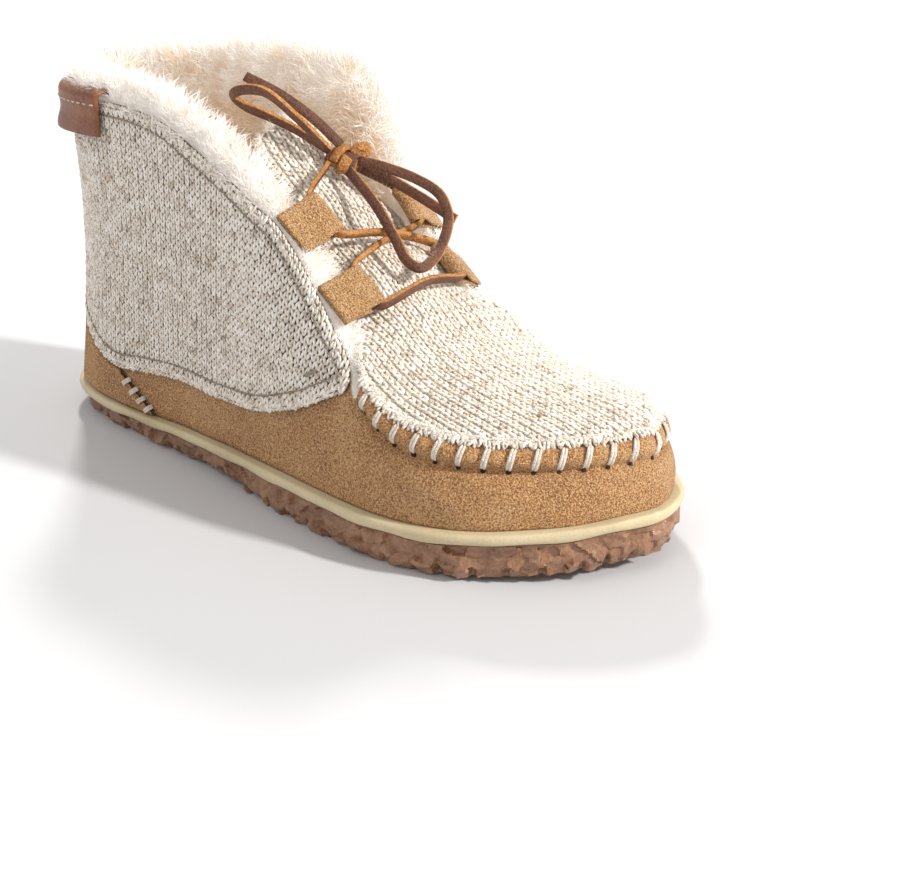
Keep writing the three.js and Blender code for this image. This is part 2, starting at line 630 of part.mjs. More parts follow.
// Pull tab: its section swept round the heel along the collar.
function pullTab() {
  const steps = 6;
  const wide = PULL_TAB.length;
  const points = [];
  const faces = [];
  for (let i = 0; i <= steps; i += 1) {
    const row = mix(PULL_TAB_ROWS[0], PULL_TAB_ROWS[1], i / steps);
    const t = row / (2 * LAST_STEP);
    const { x } = edgeAt(t, UPPER_SET);
    const base = soleTop(x) + GAP;
    const tangent = edgeCurve.getTangent(t);
    PULL_TAB.forEach(([out, rise], c) => {
      const height = lineHeight(COLLAR_LATERAL, x) + rise;
      const wall = (height - base) / (lastAt(row, 'shoulderL') - base);
      const flare = c < 2 ? PULL_TAB_FLARE * (1 - i / steps) : 0;
      const point = upperPoint(row, { wall, over: 0 });
      points.push(point.addScaledVector(vec([tangent.y, -tangent.x, 0]), out + flare));
      const [a, b] = [i * wide + c, i * wide + ((c + 1) % wide)];
      if (i < steps) faces.push(...quad(a, a + wide, b + wide, b));
    });
  }
  const section = PULL_TAB.map(([out, rise]) => new THREE.Vector2(out, rise));
  for (const [a, b, c] of THREE.ShapeUtils.triangulateShape(section, [])) {
    const last = steps * wide;
    faces.push([a, b, c], [last + c, last + b, last + a]);
  }
  return toSolid(indexed(points, faces));
}

const finish = (color, roughness) => new THREE.MeshStandardMaterial({ color, roughness, metalness: 0 });
const GUM = finish(0x9a6646, 0.55);
const CREAM = finish(0xe6d8b4, 0.6);
const SUEDE_TAN = finish(0xb98450, 0.95);
const OATMEAL_KNIT = finish(0xcfc7ba, 0.98);
const WOOL_PILE = finish(0xf1e9dc, 1);
const LACE_LEATHER = finish(0x7d4a24, 0.5);
const CHESTNUT = finish(0x8a4a2c, 0.45);

const ankleBoot = new THREE.Group();

function place(name, solid, material) {
  const mesh = new THREE.Mesh(toGeometry(solid), material);
  mesh.name = name;
  ankleBoot.add(mesh);
}

place('outsole', outsole(), GUM);
place('midsole', midsole(), CREAM);
place('insole', insole(), WOOL_PILE);
place('upper', upper(), SUEDE_TAN);
place('quarter_lateral', quarter(COLLAR_LATERAL, -FAR, HEEL_AXIS - GAP / 2), OATMEAL_KNIT);
place('quarter_medial', quarter(COLLAR_MEDIAL, HEEL_AXIS + GAP / 2, FAR), OATMEAL_KNIT);
place('heel_counter', heelCounter(), SUEDE_TAN);
place('tongue', toePlug().add(tongueSheet()), OATMEAL_KNIT);
place('pile_collar', pileCollar(), WOOL_PILE);
place('pull_tab', pullTab(), CHESTNUT);
for (const [name, row] of Object.entries(TABS)) place(name, laceTab(row), SUEDE_TAN);
place('lace_crossings', laceCrossings(), LACE_LEATHER);
place('lace_knot', laceKnot(), LACE_LEATHER);
place('lace_loop_1', thong(LACE_LOOP_1, 12), LACE_LEATHER);
place('lace_loop_2', thong(LACE_LOOP_2, 17), LACE_LEATHER);
place('lace_end_1', thong(LACE_END_1, 7), LACE_LEATHER);
place('lace_end_2', thong(LACE_END_2, 7), LACE_LEATHER);

export default ankleBoot;
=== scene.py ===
"""Looks of one right ankle boot: suede body, knitted quarters and tongue, wool pile, leather lace."""
import math

import bmesh
import bpy
import numpy as np
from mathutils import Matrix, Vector
from mathutils.bvhtree import BVHTree


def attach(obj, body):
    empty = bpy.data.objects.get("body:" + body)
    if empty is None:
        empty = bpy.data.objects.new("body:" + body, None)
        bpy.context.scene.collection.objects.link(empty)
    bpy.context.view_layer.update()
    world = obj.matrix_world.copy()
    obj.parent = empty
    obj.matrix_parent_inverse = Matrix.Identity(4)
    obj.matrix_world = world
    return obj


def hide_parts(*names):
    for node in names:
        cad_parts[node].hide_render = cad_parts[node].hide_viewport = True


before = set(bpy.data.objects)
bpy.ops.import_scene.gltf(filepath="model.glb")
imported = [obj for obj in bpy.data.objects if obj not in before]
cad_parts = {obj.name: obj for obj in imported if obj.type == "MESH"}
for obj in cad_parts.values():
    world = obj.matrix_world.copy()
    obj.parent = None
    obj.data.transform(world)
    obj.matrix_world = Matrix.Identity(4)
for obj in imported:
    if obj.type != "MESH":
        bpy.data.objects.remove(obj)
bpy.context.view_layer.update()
MM = 0.001
chance = np.random.default_rng(7)

# Last of the boot, heel to toe, in millimetres: edge of the sole on each side, ridge line, heights.
LAST_COLUMNS = (
    "x lateral medial spine shoulder_lateral shoulder_medial crest lean_lateral lean_medial waist seam"
).split()
LAST = np.array([
    [-130, -3.3, -3.3, -92, 136, 136, 148, 2, 2, 4.4, 0],
    [-126, -18.9, 12.3, -90, 136, 136, 148, 2, 2, 4.6, 0],
    [-116, -30.3, 23.7, -86, 136, 136, 148, 2.6, 2.2, 4.8, 0],
    [-100, -36.6, 30, -80, 136, 136, 148, 3.6, 2.2, 4.2, 0],
    [-80, -38.7, 32.1, -70, 136, 136, 148, 4.8, 2, 3, 0],
    [-50, -39.3, 30.3, -48, 136, 136, 148, 5.4, -0.8, 1.2, 0],
    [-20, -42.1, 30, -20, 132, 134, 142, 7.4, -4, 0, 0],
    [0, -44.8, 33.2, -1, 109, 110, 114, 9, -1, -0.5, 0],
    [15, -46.7, 36.4, 14, 92, 91, 95, 10.6, 1.8, -1, 0],
    [30, -48.2, 40.3, 29, 73, 72, 76, 11, 5.1, -1.2, 0],
    [45, -49, 44.5, 45, 56, 54, 60.5, 8.9, 7.1, -1.5, 0],
    [60, -48.7, 47.1, 59, 46.8, 44.5, 53, 7.5, 7, -1.6, 1],
    [75, -46, 48.7, 73, 43.8, 41.5, 50, 6.8, 6.8, -1.7, 1],
    [90, -40.5, 48, 85, 42.8, 40.4, 48, 6.5, 6.5, -1.8, 1],
    [105, -30.3, 43.3, 93, 42.7, 41.2, 47.2, 6.3, 6.3, -1.8, 1],
    [118, -16.6, 33.6, 97, 43, 42.6, 46.8, 6.2, 6.2, -1.8, 1],
    [126, -2.5, 23.3, 99, 43, 43, 46.7, 6.2, 6.2, -1.8, 1],
    [130, 9.7, 9.7, 100, 43, 43, 46.6, 6.2, 6.2, -1.8, 1],
])
# Rows of the last along one side, and round the whole boot.
LAST_STEP = len(LAST) - 1
LOOP = 2 * LAST_STEP
SIDES = ("lateral", "medial")
# The upper: how far it stands in from the sole's edge and over the sole, and its wall.
UPPER_SET = 2.8
GAP = 0.3
WALL = 3.0
LEAN_CURVE = 1.3
CROWN_CURVE = 2.2
# Panels laid on the wall: how far off it, the thickness of knit and of suede, and where the quarters end.
OVERLAY_SET = 0.42
KNIT_BACKING = 0.8
SUEDE = 1.5
PANEL_FRONT = 43.6
# Small steps that slopes of the form are measured over: rows round, millimetres up, share of a wall.
TURN_STEP = 0.03
HEIGHT_STEP = 0.4
SHARE_STEP = 0.004

# Panel lines in the side view: x, height.
COLLAR_LATERAL = np.array([
    [-140, 119.5], [-112, 119.5], [-90, 120.5], [-70, 120.8], [-51, 118.5], [-34, 112.7], [-16, 106.3],
    [-3, 100], [7, 95.3], [17, 86], [23, 79], [33.5, 67], [41.6, 58.5], [44.5, 51],
])
COLLAR_MEDIAL = np.array([
    [-140, 119.5], [-112, 119.5], [-90, 121.5], [-68, 124.5], [-45, 127], [-25, 126.5], [-13, 122],
    [-6, 113.5], [-4, 103], [2, 92], [11, 80], [25, 65.5], [36, 57], [44.5, 51],
])
QUARTER_HEM = np.array([
    [-140, 48], [-128, 47], [-119, 43.4], [-110, 34.5], [-95, 26.6], [-83, 24.3], [-67, 26.8],
    [-43, 29.7], [-20, 30.6], [3, 33.2], [23, 40], [34.5, 45.7], [44.5, 51],
])
COUNTER_FRONT = (-83.0, -62.0)
COUNTER_FRONT_TOP = 23.7
COUNTER_FRONT_FOOT = 12.5


def spline(values, at, closed=False):
    """Value and slope of a smooth curve through evenly numbered values."""
    values = np.asarray(values, float)
    at = np.asarray(at, float)
    count = len(values)
    low = np.floor(at).astype(int)
    if not closed:
        low = np.clip(low, 0, count - 2)
    t = at - low

    def pick(step):
        return values[(low + step) % count] if closed else values[np.clip(low + step, 0, count - 1)]

    a, b, c, d = pick(-1), pick(0), pick(1), pick(2)
    bend = 2 * a - 5 * b + 4 * c - d
    twist = 3 * (b - c) + d - a
    value = b + 0.5 * t * (c - a + t * (bend + t * twist))
    slope = 0.5 * (c - a) + t * bend + 1.5 * t * t * twist
    return value, slope


def smooth(low, high, value):
    """Share of the way from low to high, eased at both ends."""
    share = np.clip((np.asarray(value, float) - low) / (high - low), 0, 1)
    return share * share * (3 - 2 * share)


def unit(vectors):
    return vectors / np.maximum(np.linalg.norm(vectors, axis=-1, keepdims=True), 1e-9)


def run_along(points):
    """Distance travelled at each point of a path."""
    return np.concatenate([[0], np.cumsum(np.linalg.norm(np.diff(points, axis=0), axis=1))])


def table_line(rows, per_segment=24):
    """A side-view line as finely sampled x and height."""
    at = np.linspace(0, len(rows) - 1, (len(rows) - 1) * per_segment + 1)
    return spline(rows[:, 0], at)[0], spline(rows[:, 1], at)[0]


LINES = {
    name: table_line(rows)
    for name, rows in (("lateral", COLLAR_LATERAL), ("medial", COLLAR_MEDIAL), ("hem", QUARTER_HEM))
}


def line_height(name, x):
    return np.interp(x, *LINES[name])


# Sole heights along the length: rises, and where each starts and how long it is.
TOE_SPRING, SPRING_START, SPRING_LONG, SPRING_CURVE = 5.5, 60, 70, 1.8
HEEL_SOLE, FORE_SOLE_MORE = 10.5, 5.5
HEEL_SOLE_END, FORE_SOLE_START = -90, 40
ARCH_RISE, ARCH_START, ARCH_LONG = 1.8, -62, 74
HEEL_BEVEL, BEVEL_START, BEVEL_LONG = 1.6, -105, 25


def toe_spring(x):
    return TOE_SPRING * np.maximum((x - SPRING_START) / SPRING_LONG, 0) ** SPRING_CURVE


def fore_share(x):
    """Share of the way from the thinner heel sole to the thicker fore sole."""
    return smooth(HEEL_SOLE_END, FORE_SOLE_START, x)


def sole_top(x):
    return toe_spring(x) + HEEL_SOLE + FORE_SOLE_MORE * fore_share(x)


def sole_floor(x):
    arch = ARCH_RISE * np.sin(np.pi * np.clip((x - ARCH_START) / ARCH_LONG, 0, 1)) ** 2
    bevel = HEEL_BEVEL * np.maximum((BEVEL_START - x) / BEVEL_LONG, 0) ** 2
    return toe_spring(x) + arch + bevel


EDGE_X = np.concatenate([LAST[:, 0], LAST[-2:0:-1, 0]])
EDGE_Y = np.concatenate([LAST[:, 1], LAST[-2:0:-1, 2]])


def edge_at(loop, inset):
    """Plan point of the sole's edge at a loop row, moved inwards."""
    x, dx = spline(EDGE_X, loop, closed=True)
    y, dy = spline(EDGE_Y, loop, closed=True)
    size = np.hypot(dx, dy)
    return x - inset * dy / size, y + inset * dx / size


def last_value(loop, name):
    """A column of the last at a loop row; names with two sides take the side of the loop."""
    turn = np.mod(loop, LOOP)
    medial = turn > LAST_STEP
    row = np.where(medial, LOOP - turn, turn)
    if name in LAST_COLUMNS:
        return spline(LAST[:, LAST_COLUMNS.index(name)], row)[0]
    lateral_values = spline(LAST[:, LAST_COLUMNS.index(name + "_lateral")], row)[0]
    medial_values = spline(LAST[:, LAST_COLUMNS.index(name + "_medial")], row)[0]
    return np.where(medial, medial_values, lateral_values)


def base_height(loop):
    return sole_top(edge_at(loop, UPPER_SET)[0]) + GAP


def form_point(loop, wall, over=0.0):
    """Point of the boot's outer form: share up the wall, then share over the top to the ridge."""
    loop, wall, over = np.broadcast_arrays(np.asarray(loop, float), wall, over)
    lean = last_value(loop, "lean")
    waist = last_value(loop, "waist")
    climb = np.clip(wall, 0, None)
    inset = UPPER_SET + lean * climb ** LEAN_CURVE + waist * np.sin(np.pi * np.clip(wall, 0, 1))
    x, y = edge_at(loop, inset)
    shoulder = last_value(loop, "shoulder")
    middle = (last_value(loop, "lateral") + last_value(loop, "medial")) / 2
    low = base_height(loop)
    rise = (last_value(loop, "crest") - shoulder) * (1 - (1 - over) ** CROWN_CURVE)
    z = low + (shoulder - low) * wall + rise
    return np.stack([x + (last_value(loop, "spine") - x) * over, y + (middle - y) * over, z], -1)


def wall_point(loop, height, out=0.0):
    """Point on the wall at a height, moved outwards, and the outward normal."""
    loop, height, out = np.broadcast_arrays(np.asarray(loop, float), height, out)

    def at(turn, z):
        low = base_height(turn)
        return form_point(turn, (z - low) / (last_value(turn, "shoulder") - low))

    round_way = at(loop + TURN_STEP, height) - at(loop - TURN_STEP, height)
    up_way = at(loop, height + HEIGHT_STEP) - at(loop, height - HEIGHT_STEP)
    normal = unit(np.cross(round_way, up_way))
    return at(loop, height) + normal * out[..., None], normal


# Distance round the boot at half height, measured from the back of the heel on each side.
HALF_WALL = 0.5
TURN = np.linspace(0, LOOP, LOOP * 40 + 1)
GIRTH = run_along(form_point(TURN, HALF_WALL))


def turn_at(side, distance):
    """Loop row at a distance from the back seam along one side."""
    if side == "lateral":
        return np.interp(distance, GIRTH, TURN)
    return np.interp(GIRTH[-1] - np.asarray(distance, float), GIRTH, TURN)


def girth_x(turns):
    """Place along the boot of loop rows at half height."""
    return form_point(turns, HALF_WALL)[:, 0]


# Meshes: points closer than this, in metres, are one, and faces thinner than this are dropped.
DOUBLES_APART = 2e-6
SLIVER = 1e-6


def grid_faces(numbers, closed=False):
    """Quads over a grid of vertex numbers, facing out when columns run round and rows run up."""
    right = np.roll(numbers, -1, axis=1) if closed else numbers[:, 1:]
    left = numbers if closed else numbers[:, :-1]
    return np.stack([left[:-1], right[:-1], right[1:], left[1:]], -1).reshape(-1, 4)


def slab(outer, inner):
    """Points and faces of a sheet with thickness between two matching grids."""
    rows, columns = outer.shape[:2]
    face = np.arange(rows * columns).reshape(rows, columns)
    back = face + rows * columns
    faces = [grid_faces(face), grid_faces(back)[:, ::-1]]
    faces.append(grid_faces(np.stack([back[0], face[0]])))
    faces.append(grid_faces(np.stack([face[-1], back[-1]])))
    faces.append(grid_faces(np.stack([face[:, 0], back[:, 0]], 0).T[:, ::-1]))
    faces.append(grid_faces(np.stack([back[:, -1], face[:, -1]], 0).T[:, ::-1]))
    return np.concatenate([outer.reshape(-1, 3), inner.reshape(-1, 3)]), np.concatenate(faces)


def to_mesh(name, points, faces, materials=(), marks=None, face_finish=None, tidy=True, shade=True):
    """A mesh object from millimetre points; marks are named vertex values."""
    mesh = bpy.data.meshes.new(name)
    mesh.from_pydata((np.asarray(points) * MM).tolist(), [], [list(map(int, f)) for f in faces])
    for key, values in (marks or {}).items():
        values = np.asarray(values, np.float32)
        kind, field = ("FLOAT_VECTOR", "vector") if values.ndim == 2 else ("FLOAT", "value")
        mesh.attributes.new(key, kind, "POINT").data.foreach_set(field, values.ravel())
    for material in materials:
        mesh.materials.append(material)
    if face_finish is not None:
        mesh.polygons.foreach_set("material_index", np.asarray(face_finish, np.int32))
    if shade and len(faces):
        mesh.polygons.foreach_set("use_smooth", np.ones(len(mesh.polygons), bool))
    piece = bpy.data.objects.new(name, mesh)
    bpy.context.scene.collection.objects.link(piece)
    if tidy:
        weld(piece)
    return piece


def weld(piece):
    """Merges doubled points and drops faces without area."""
    work = bmesh.new()
    work.from_mesh(piece.data)
    bmesh.ops.remove_doubles(work, verts=work.verts, dist=DOUBLES_APART)
    bmesh.ops.dissolve_degenerate(work, edges=work.edges, dist=SLIVER)
    work.to_mesh(piece.data)
    work.free()
    piece.data.update()


def joined(parts):
    """Several (points, faces) pairs as one."""
    points, faces, shift = [], [], 0
    for some_points, some_faces in parts:
        points.append(np.asarray(some_points, float).reshape(-1, 3))
        faces.extend([[int(v) + shift for v in face] for face in some_faces])
        shift += len(points[-1])
    return np.concatenate(points), faces


def finish_piece(piece, slot, *nodes):
    """Lets a piece ride on the boot in place of the solids that it stands for; the slot is not used."""
    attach(piece, "root")
    if nodes:
        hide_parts(*nodes)
    return piece


# Node trees.
def add(tree, kind, inputs=None, **settings):
    """A node with its settings made and its inputs set or linked."""
    node = tree.nodes.new(kind)
    for key, value in settings.items():
        setattr(node, key, value)
    for key, value in (inputs or {}).items():
        if isinstance(value, bpy.types.NodeSocket):
            tree.links.new(value, node.inputs[key])
        else:
            node.inputs[key].default_value = value
    return node


def new_tree(name, kind, inputs, outputs):
    """A node group with named inputs and outputs."""
    tree = bpy.data.node_groups.new(name, kind)
    for label, socket in inputs:
        tree.interface.new_socket(label, in_out="INPUT", socket_type=socket)
    for label, socket in outputs:
        tree.interface.new_socket(label, in_out="OUTPUT", socket_type=socket)
    return tree, tree.nodes.new("NodeGroupInput"), tree.nodes.new("NodeGroupOutput")


def ranged(tree, value, start, end, first, last):
    """A value moved from the range start to end into the range first to last."""
    return add(tree, "ShaderNodeMapRange", {0: value, 1: start, 2: end, 3: first, 4: last}).outputs[0]


def combined(tree, operation, first, second):
    """The sum or product of two values."""
    return add(tree, "ShaderNodeMath", {0: first, 1: second}, operation=operation).outputs[0]


def marked(tree, name, kind="FLOAT_VECTOR"):
    """A named mark of the points or of the surface."""
    return add(tree, "GeometryNodeInputNamedAttribute", {"Name": name}, data_type=kind).outputs[0]


def end_in_finish(tree, given, result, copies):
    """Ends a geometry tree: the copies made real, in the given finish."""
    real = add(tree, "GeometryNodeRealizeInstances", {"Geometry": copies.outputs[0]})
    painted = add(tree, "GeometryNodeSetMaterial", {
        "Geometry": real.outputs[0], "Material": given.outputs["Finish"],
    })
    tree.links.new(painted.outputs[0], result.inputs["Geometry"])


def scatter_tree():
    """Sets a small shape on every point, turned to the point's own along and out directions."""
    tree, given, result = new_tree(
        "set_shapes_on_points", "GeometryNodeTree",
        [("Points", "NodeSocketGeometry"), ("Shape", "NodeSocketObject"), ("Finish", "NodeSocketMaterial")],
        [("Geometry", "NodeSocketGeometry")],
    )
    shape = add(tree, "GeometryNodeObjectInfo", {"Object": given.outputs["Shape"]})
    turn = add(
        tree, "FunctionNodeAxesToRotation",
        {"Primary Axis": marked(tree, "out"), "Secondary Axis": marked(tree, "along")},
        primary_axis="Z", secondary_axis="Y",
    )
    placed = add(tree, "GeometryNodeInstanceOnPoints", {
        "Points": given.outputs["Points"], "Instance": shape.outputs["Geometry"],
        "Rotation": turn.outputs[0], "Scale": marked(tree, "size"),
    })
    end_in_finish(tree, given, result, placed)
    return tree


# Wool strands: seeds of their stray, spin and size, range of sizes, and a whole turn in radians.
STRAY_SEED, SPIN_SEED, SIZE_SEED = 2, 3, 5
STRAND_SIZES = (0.65, 1.2)
FULL_TURN = 6.283


def pile_tree():
    """Grows bent wool strands over a surface, combed the surface's own way and ruffled in locks."""
    tree, given, result = new_tree(
        "grow_pile", "GeometryNodeTree",
        [("Surface", "NodeSocketGeometry"), ("Strand", "NodeSocketObject"), ("Finish", "NodeSocketMaterial"),
         ("Density", "NodeSocketFloat"), ("Lock size", "NodeSocketFloat"), ("Ruffle", "NodeSocketFloat"),
         ("Stray", "NodeSocketFloat"), ("Seed", "NodeSocketInt")],
        [("Geometry", "NodeSocketGeometry")],
    )

    def vector_math(operation, first, second):
        key = "Scale" if operation == "SCALE" else 1
        return add(tree, "ShaderNodeVectorMath", {0: first, key: second}, operation=operation).outputs[0]

    def chance_value(low, high, seed):
        node = add(tree, "FunctionNodeRandomValue", {2: low, 3: high, "Seed": seed}, data_type="FLOAT")
        return node.outputs[1]

    spread = add(tree, "GeometryNodeDistributePointsOnFaces", {
        "Mesh": given.outputs["Surface"], "Seed": given.outputs["Seed"],
        "Density": combined(tree, "MULTIPLY", given.outputs["Density"], marked(tree, "crowd", "FLOAT")),
    }, distribute_method="RANDOM")
    place = add(tree, "GeometryNodeInputPosition").outputs[0]
    locks = add(tree, "ShaderNodeTexNoise", {
        "Vector": place, "Scale": given.outputs["Lock size"], "Detail": 1.0,
    })
    sway = vector_math("SUBTRACT", locks.outputs["Color"], (0.5, 0.5, 0.5))
    sway = vector_math("SCALE", sway, given.outputs["Ruffle"])
    stray = add(tree, "FunctionNodeRandomValue", {"Min": (-1, -1, -1), "Max": (1, 1, 1), "Seed": STRAY_SEED},
                data_type="FLOAT_VECTOR").outputs[0]
    stray = vector_math("SCALE", stray, given.outputs["Stray"])
    lean = vector_math("ADD", vector_math("ADD", sway, stray), marked(tree, "comb"))
    stand = add(tree, "FunctionNodeAlignRotationToVector", {"Vector": lean}, axis="Z")
    spin = add(tree, "FunctionNodeAxisAngleToRotation", {
        "Axis": (0, 0, 1), "Angle": chance_value(0.0, FULL_TURN, SPIN_SEED),
    })
    turned = add(tree, "FunctionNodeRotateRotation", {
        "Rotation": stand.outputs[0], "Rotate By": spin.outputs[0],
    }, rotation_space="LOCAL")
    strand = add(tree, "GeometryNodeObjectInfo", {"Object": given.outputs["Strand"]})
    size = combined(tree, "MULTIPLY", chance_value(*STRAND_SIZES, SIZE_SEED), marked(tree, "reach", "FLOAT"))
    placed = add(tree, "GeometryNodeInstanceOnPoints", {
        "Points": spread.outputs["Points"], "Instance": strand.outputs["Geometry"],
        "Rotation": turned.outputs[0], "Scale": size,
    })
    end_in_finish(tree, given, result, placed)
    return tree


# Marks that only the node trees use.
WORK_MARKS = ("out", "along", "size", "comb", "reach", "crowd")


def drop_marks(mesh):
    for name in WORK_MARKS:
        if name in mesh.attributes:
            mesh.attributes.remove(mesh.attributes[name])


def grown(piece, tree, name, **inputs):
    """Runs a node tree on a piece and keeps the result as a plain mesh under a new name."""
    run = piece.modifiers.new("run", "NODES")
    run.node_group = tree
    for item in tree.interface.items_tree:
        if item.in_out == "INPUT" and item.name in inputs:
            run[item.identifier] = inputs[item.name]
    seen = bpy.context.evaluated_depsgraph_get()
    mesh = bpy.data.meshes.new_from_object(piece.evaluated_get(seen), depsgraph=seen)
    piece.modifiers.remove(run)
    drop_marks(mesh)
    mesh.polygons.foreach_set("use_smooth", np.ones(len(mesh.polygons), bool))
    result = bpy.data.objects.new(name, mesh)
    mesh.name = name
    bpy.context.scene.collection.objects.link(result)
    return result


def dropped(*pieces):
    for piece in pieces:
        bpy.data.objects.remove(piece, do_unlink=True)


def set_on_points(name, shape, finish, at, along, out, size, marks=None):
    """Copies of a small shape at millimetre points."""
    size = np.asarray(size, float)
    if size.ndim == 1:
        size = np.repeat(size[:, None], 3, 1)
    rows = {"along": along, "out": out, "size": size, **(marks or {})}
    points = to_mesh(name + "_points", at, [], marks=rows, tidy=False)
    result = grown(points, SCATTER, name, Shape=shape, Finish=finish)
    dropped(points)
    return result


SCATTER = scatter_tree()
PILE = pile_tree()


# Finishes: depths of the bumps in metres, strength of the broad patches, colours along a value from 0 to 1.
HIDE_RELIEF = 0.0022
YARN_RELIEF = 0.0006
PATCH_SHARE = 0.6
YARN_SHADES = [(0, "8a7868"), (0.3, "c0af9d"), (0.55, "e3d8c9"), (0.8, "f4ece0"), (1, "fdf9f3")]
# The wool: cream, darker further inside the collar as painted shade; its glow is painted light, strongest a
# little way in.
WOOL_CREAM_AND_PAINTED_SHADE = [(0, "f7f3ee"), (0.35, "f5efe8"), (0.68, "ecdac5"), (1, "dcc09c")]
WOOL_PAINTED_GLOW = [(0, "c4bab0"), (0.3, "f4e8dc"), (0.65, "dfc7ab"), (1, "a08a6c")]
WOOL_PAINTED_GLOW_STRENGTH = 0.19


def colour(text):
    """A linear colour from a plain hex one."""
    values = [int(text[i:i + 2], 16) / 255 for i in (0, 2, 4)]
    return tuple(((v + 0.055) / 1.055) ** 2.4 if v > 0.04045 else v / 12.92 for v in values) + (1,)


def blend(tree, share, first, second):
    """A mix of two colours."""
    return add(tree, "ShaderNodeMix", {0: share, 6: first, 7: second}, data_type="RGBA").outputs[2]


def mottle_group():
    """Broad light and dark patches with light and dark crumbs on top, as in brushed or worn hide."""
    tree, given, result = new_tree(
        "mottle", "ShaderNodeTree",
        [("Place", "NodeSocketVector"), ("Colour", "NodeSocketColor"), ("Light", "NodeSocketColor"),
         ("Dark", "NodeSocketColor"), ("Patch", "NodeSocketFloat"), ("Grain", "NodeSocketFloat"),
         ("Crumb", "NodeSocketFloat")],
        [("Colour", "NodeSocketColor"), ("Height", "NodeSocketFloat")],
    )
    place = given.outputs["Place"]
    patch = add(tree, "ShaderNodeTexNoise", {
        "Vector": place, "Scale": given.outputs["Patch"], "Detail": 3.0, "Roughness": 0.55,
    }).outputs[0]
    grain = add(tree, "ShaderNodeTexNoise", {
        "Vector": place, "Scale": given.outputs["Grain"], "Detail": 2.0, "Roughness": 0.65,
    }).outputs[0]

    tint = given.outputs["Colour"]
    crumb = given.outputs["Crumb"]
    for value, end, top, shade in (
        (patch, 0.75, PATCH_SHARE, "Light"), (patch, 0.25, PATCH_SHARE, "Dark"),
        (grain, 0.64, crumb, "Light"), (grain, 0.36, crumb, "Dark"),
    ):
        share = ranged(tree, value, 0.5, end, 0.0, top)
        tint = blend(tree, share, tint, given.outputs[shade])
    tree.links.new(tint, result.inputs["Colour"])
    tree.links.new(grain, result.inputs["Height"])
    return tree


MOTTLE = mottle_group()


def plain_finish(name, roughness, **fixed):
    """A material, its tree and its main shader."""
    material = bpy.data.materials.new(name)
    material.use_nodes = True
    shader = material.node_tree.nodes["Principled BSDF"]
    shader.inputs["Roughness"].default_value = roughness
    for key, value in fixed.items():
        shader.inputs[key.replace("_", " ")].default_value = value
    return material, material.node_tree, shader


def mottled(name, shades, patch, grain, crumb, roughness, bump, **fixed):
    """Hide, rubber, foam or thread in middle, light and dark shades.

    Patch and grain are the fineness of broad and small marks, crumb the strength of the small ones.
    """
    material, tree, shader = plain_finish(name, roughness, **fixed)
    place = add(tree, "ShaderNodeTexCoord").outputs["Object"]
    mix = add(tree, "ShaderNodeGroup", node_tree=MOTTLE)
    tree.links.new(place, mix.inputs["Place"])
    base, light, dark = (colour(shade) for shade in shades.split())
    for key, value in {"Colour": base, "Light": light, "Dark": dark, "Patch": patch, "Grain": grain,
                       "Crumb": crumb}.items():
        mix.inputs[key].default_value = value
    relief = add(tree, "ShaderNodeBump", {
        "Height": mix.outputs["Height"], "Strength": bump, "Distance": HIDE_RELIEF,
    })
    tree.links.new(mix.outputs["Colour"], shader.inputs["Base Color"])
    tree.links.new(relief.outputs[0], shader.inputs["Normal"])
    return material


def shade_ramp(tree, value, stops):
    """Colours along a value from 0 to 1."""
    node = add(tree, "ShaderNodeValToRGB", {0: value})
    ramp = node.color_ramp.elements
    ramp[0].color = colour(stops[0][1])
    ramp[1].color = colour(stops[-1][1])
    for position, shade in stops[1:-1]:
        ramp.new(position).color = colour(shade)
    return node.outputs[0]


def yarn_finish():
    """Marled wool yarn: each loop has its own tone, with pale and grey-brown fibres along it."""
    material, tree, shader = plain_finish("marled_yarn", 0.95, Sheen_Weight=0.2, Sheen_Roughness=0.6)
    tone = add(tree, "ShaderNodeAttribute", attribute_name="tone").outputs["Fac"]
    place = add(tree, "ShaderNodeTexCoord").outputs["Object"]
    fibres = add(tree, "ShaderNodeTexNoise", {
        "Vector": place, "Scale": 1100.0, "Detail": 3.0, "Roughness": 0.7,
    }).outputs[0]
    fleck = ranged(tree, fibres, 0.32, 0.68, -0.56, 0.34)
    shades = shade_ramp(tree, combined(tree, "ADD", tone, fleck), YARN_SHADES)
    relief = add(tree, "ShaderNodeBump", {"Height": fibres, "Strength": 0.8, "Distance": YARN_RELIEF})
    tree.links.new(shades, shader.inputs["Base Color"])
    tree.links.new(relief.outputs[0], shader.inputs["Normal"])
    return material


def wool_finish():
    """Pile wool: cream at the tips and the open edge; painted shade makes it warmer at the roots and further
    in, and a painted glow lights it from within.
    """
    material, tree, shader = plain_finish("pile_wool", 0.95, Sheen_Weight=0.3, Sheen_Roughness=0.5,
                                          Emission_Strength=WOOL_PAINTED_GLOW_STRENGTH)
    depth = add(tree, "ShaderNodeAttribute", attribute_name="depth").outputs["Fac"]
    tip = add(tree, "ShaderNodeAttribute", attribute_name="tip").outputs["Fac"]
    place = add(tree, "ShaderNodeTexCoord").outputs["Object"]
    clump = add(tree, "ShaderNodeTexNoise", {"Vector": place, "Scale": 75.0, "Detail": 2.0}).outputs[0]
    # Painted shade: darker with depth inside the collar and towards the roots; the clumps are the wool's own
    # tone.
    deep = combined(tree, "ADD", depth, ranged(tree, clump, 0.3, 0.7, -0.34, 0.34))
    deep = combined(tree, "ADD", deep, ranged(tree, tip, 0.0, 0.8, 0.12, -0.1))
    tree.links.new(shade_ramp(tree, deep, WOOL_CREAM_AND_PAINTED_SHADE), shader.inputs["Base Color"])
    # Painted glow by depth, light that no lamp gives.
    tree.links.new(shade_ramp(tree, depth, WOOL_PAINTED_GLOW), shader.inputs["Emission Color"])
    return material


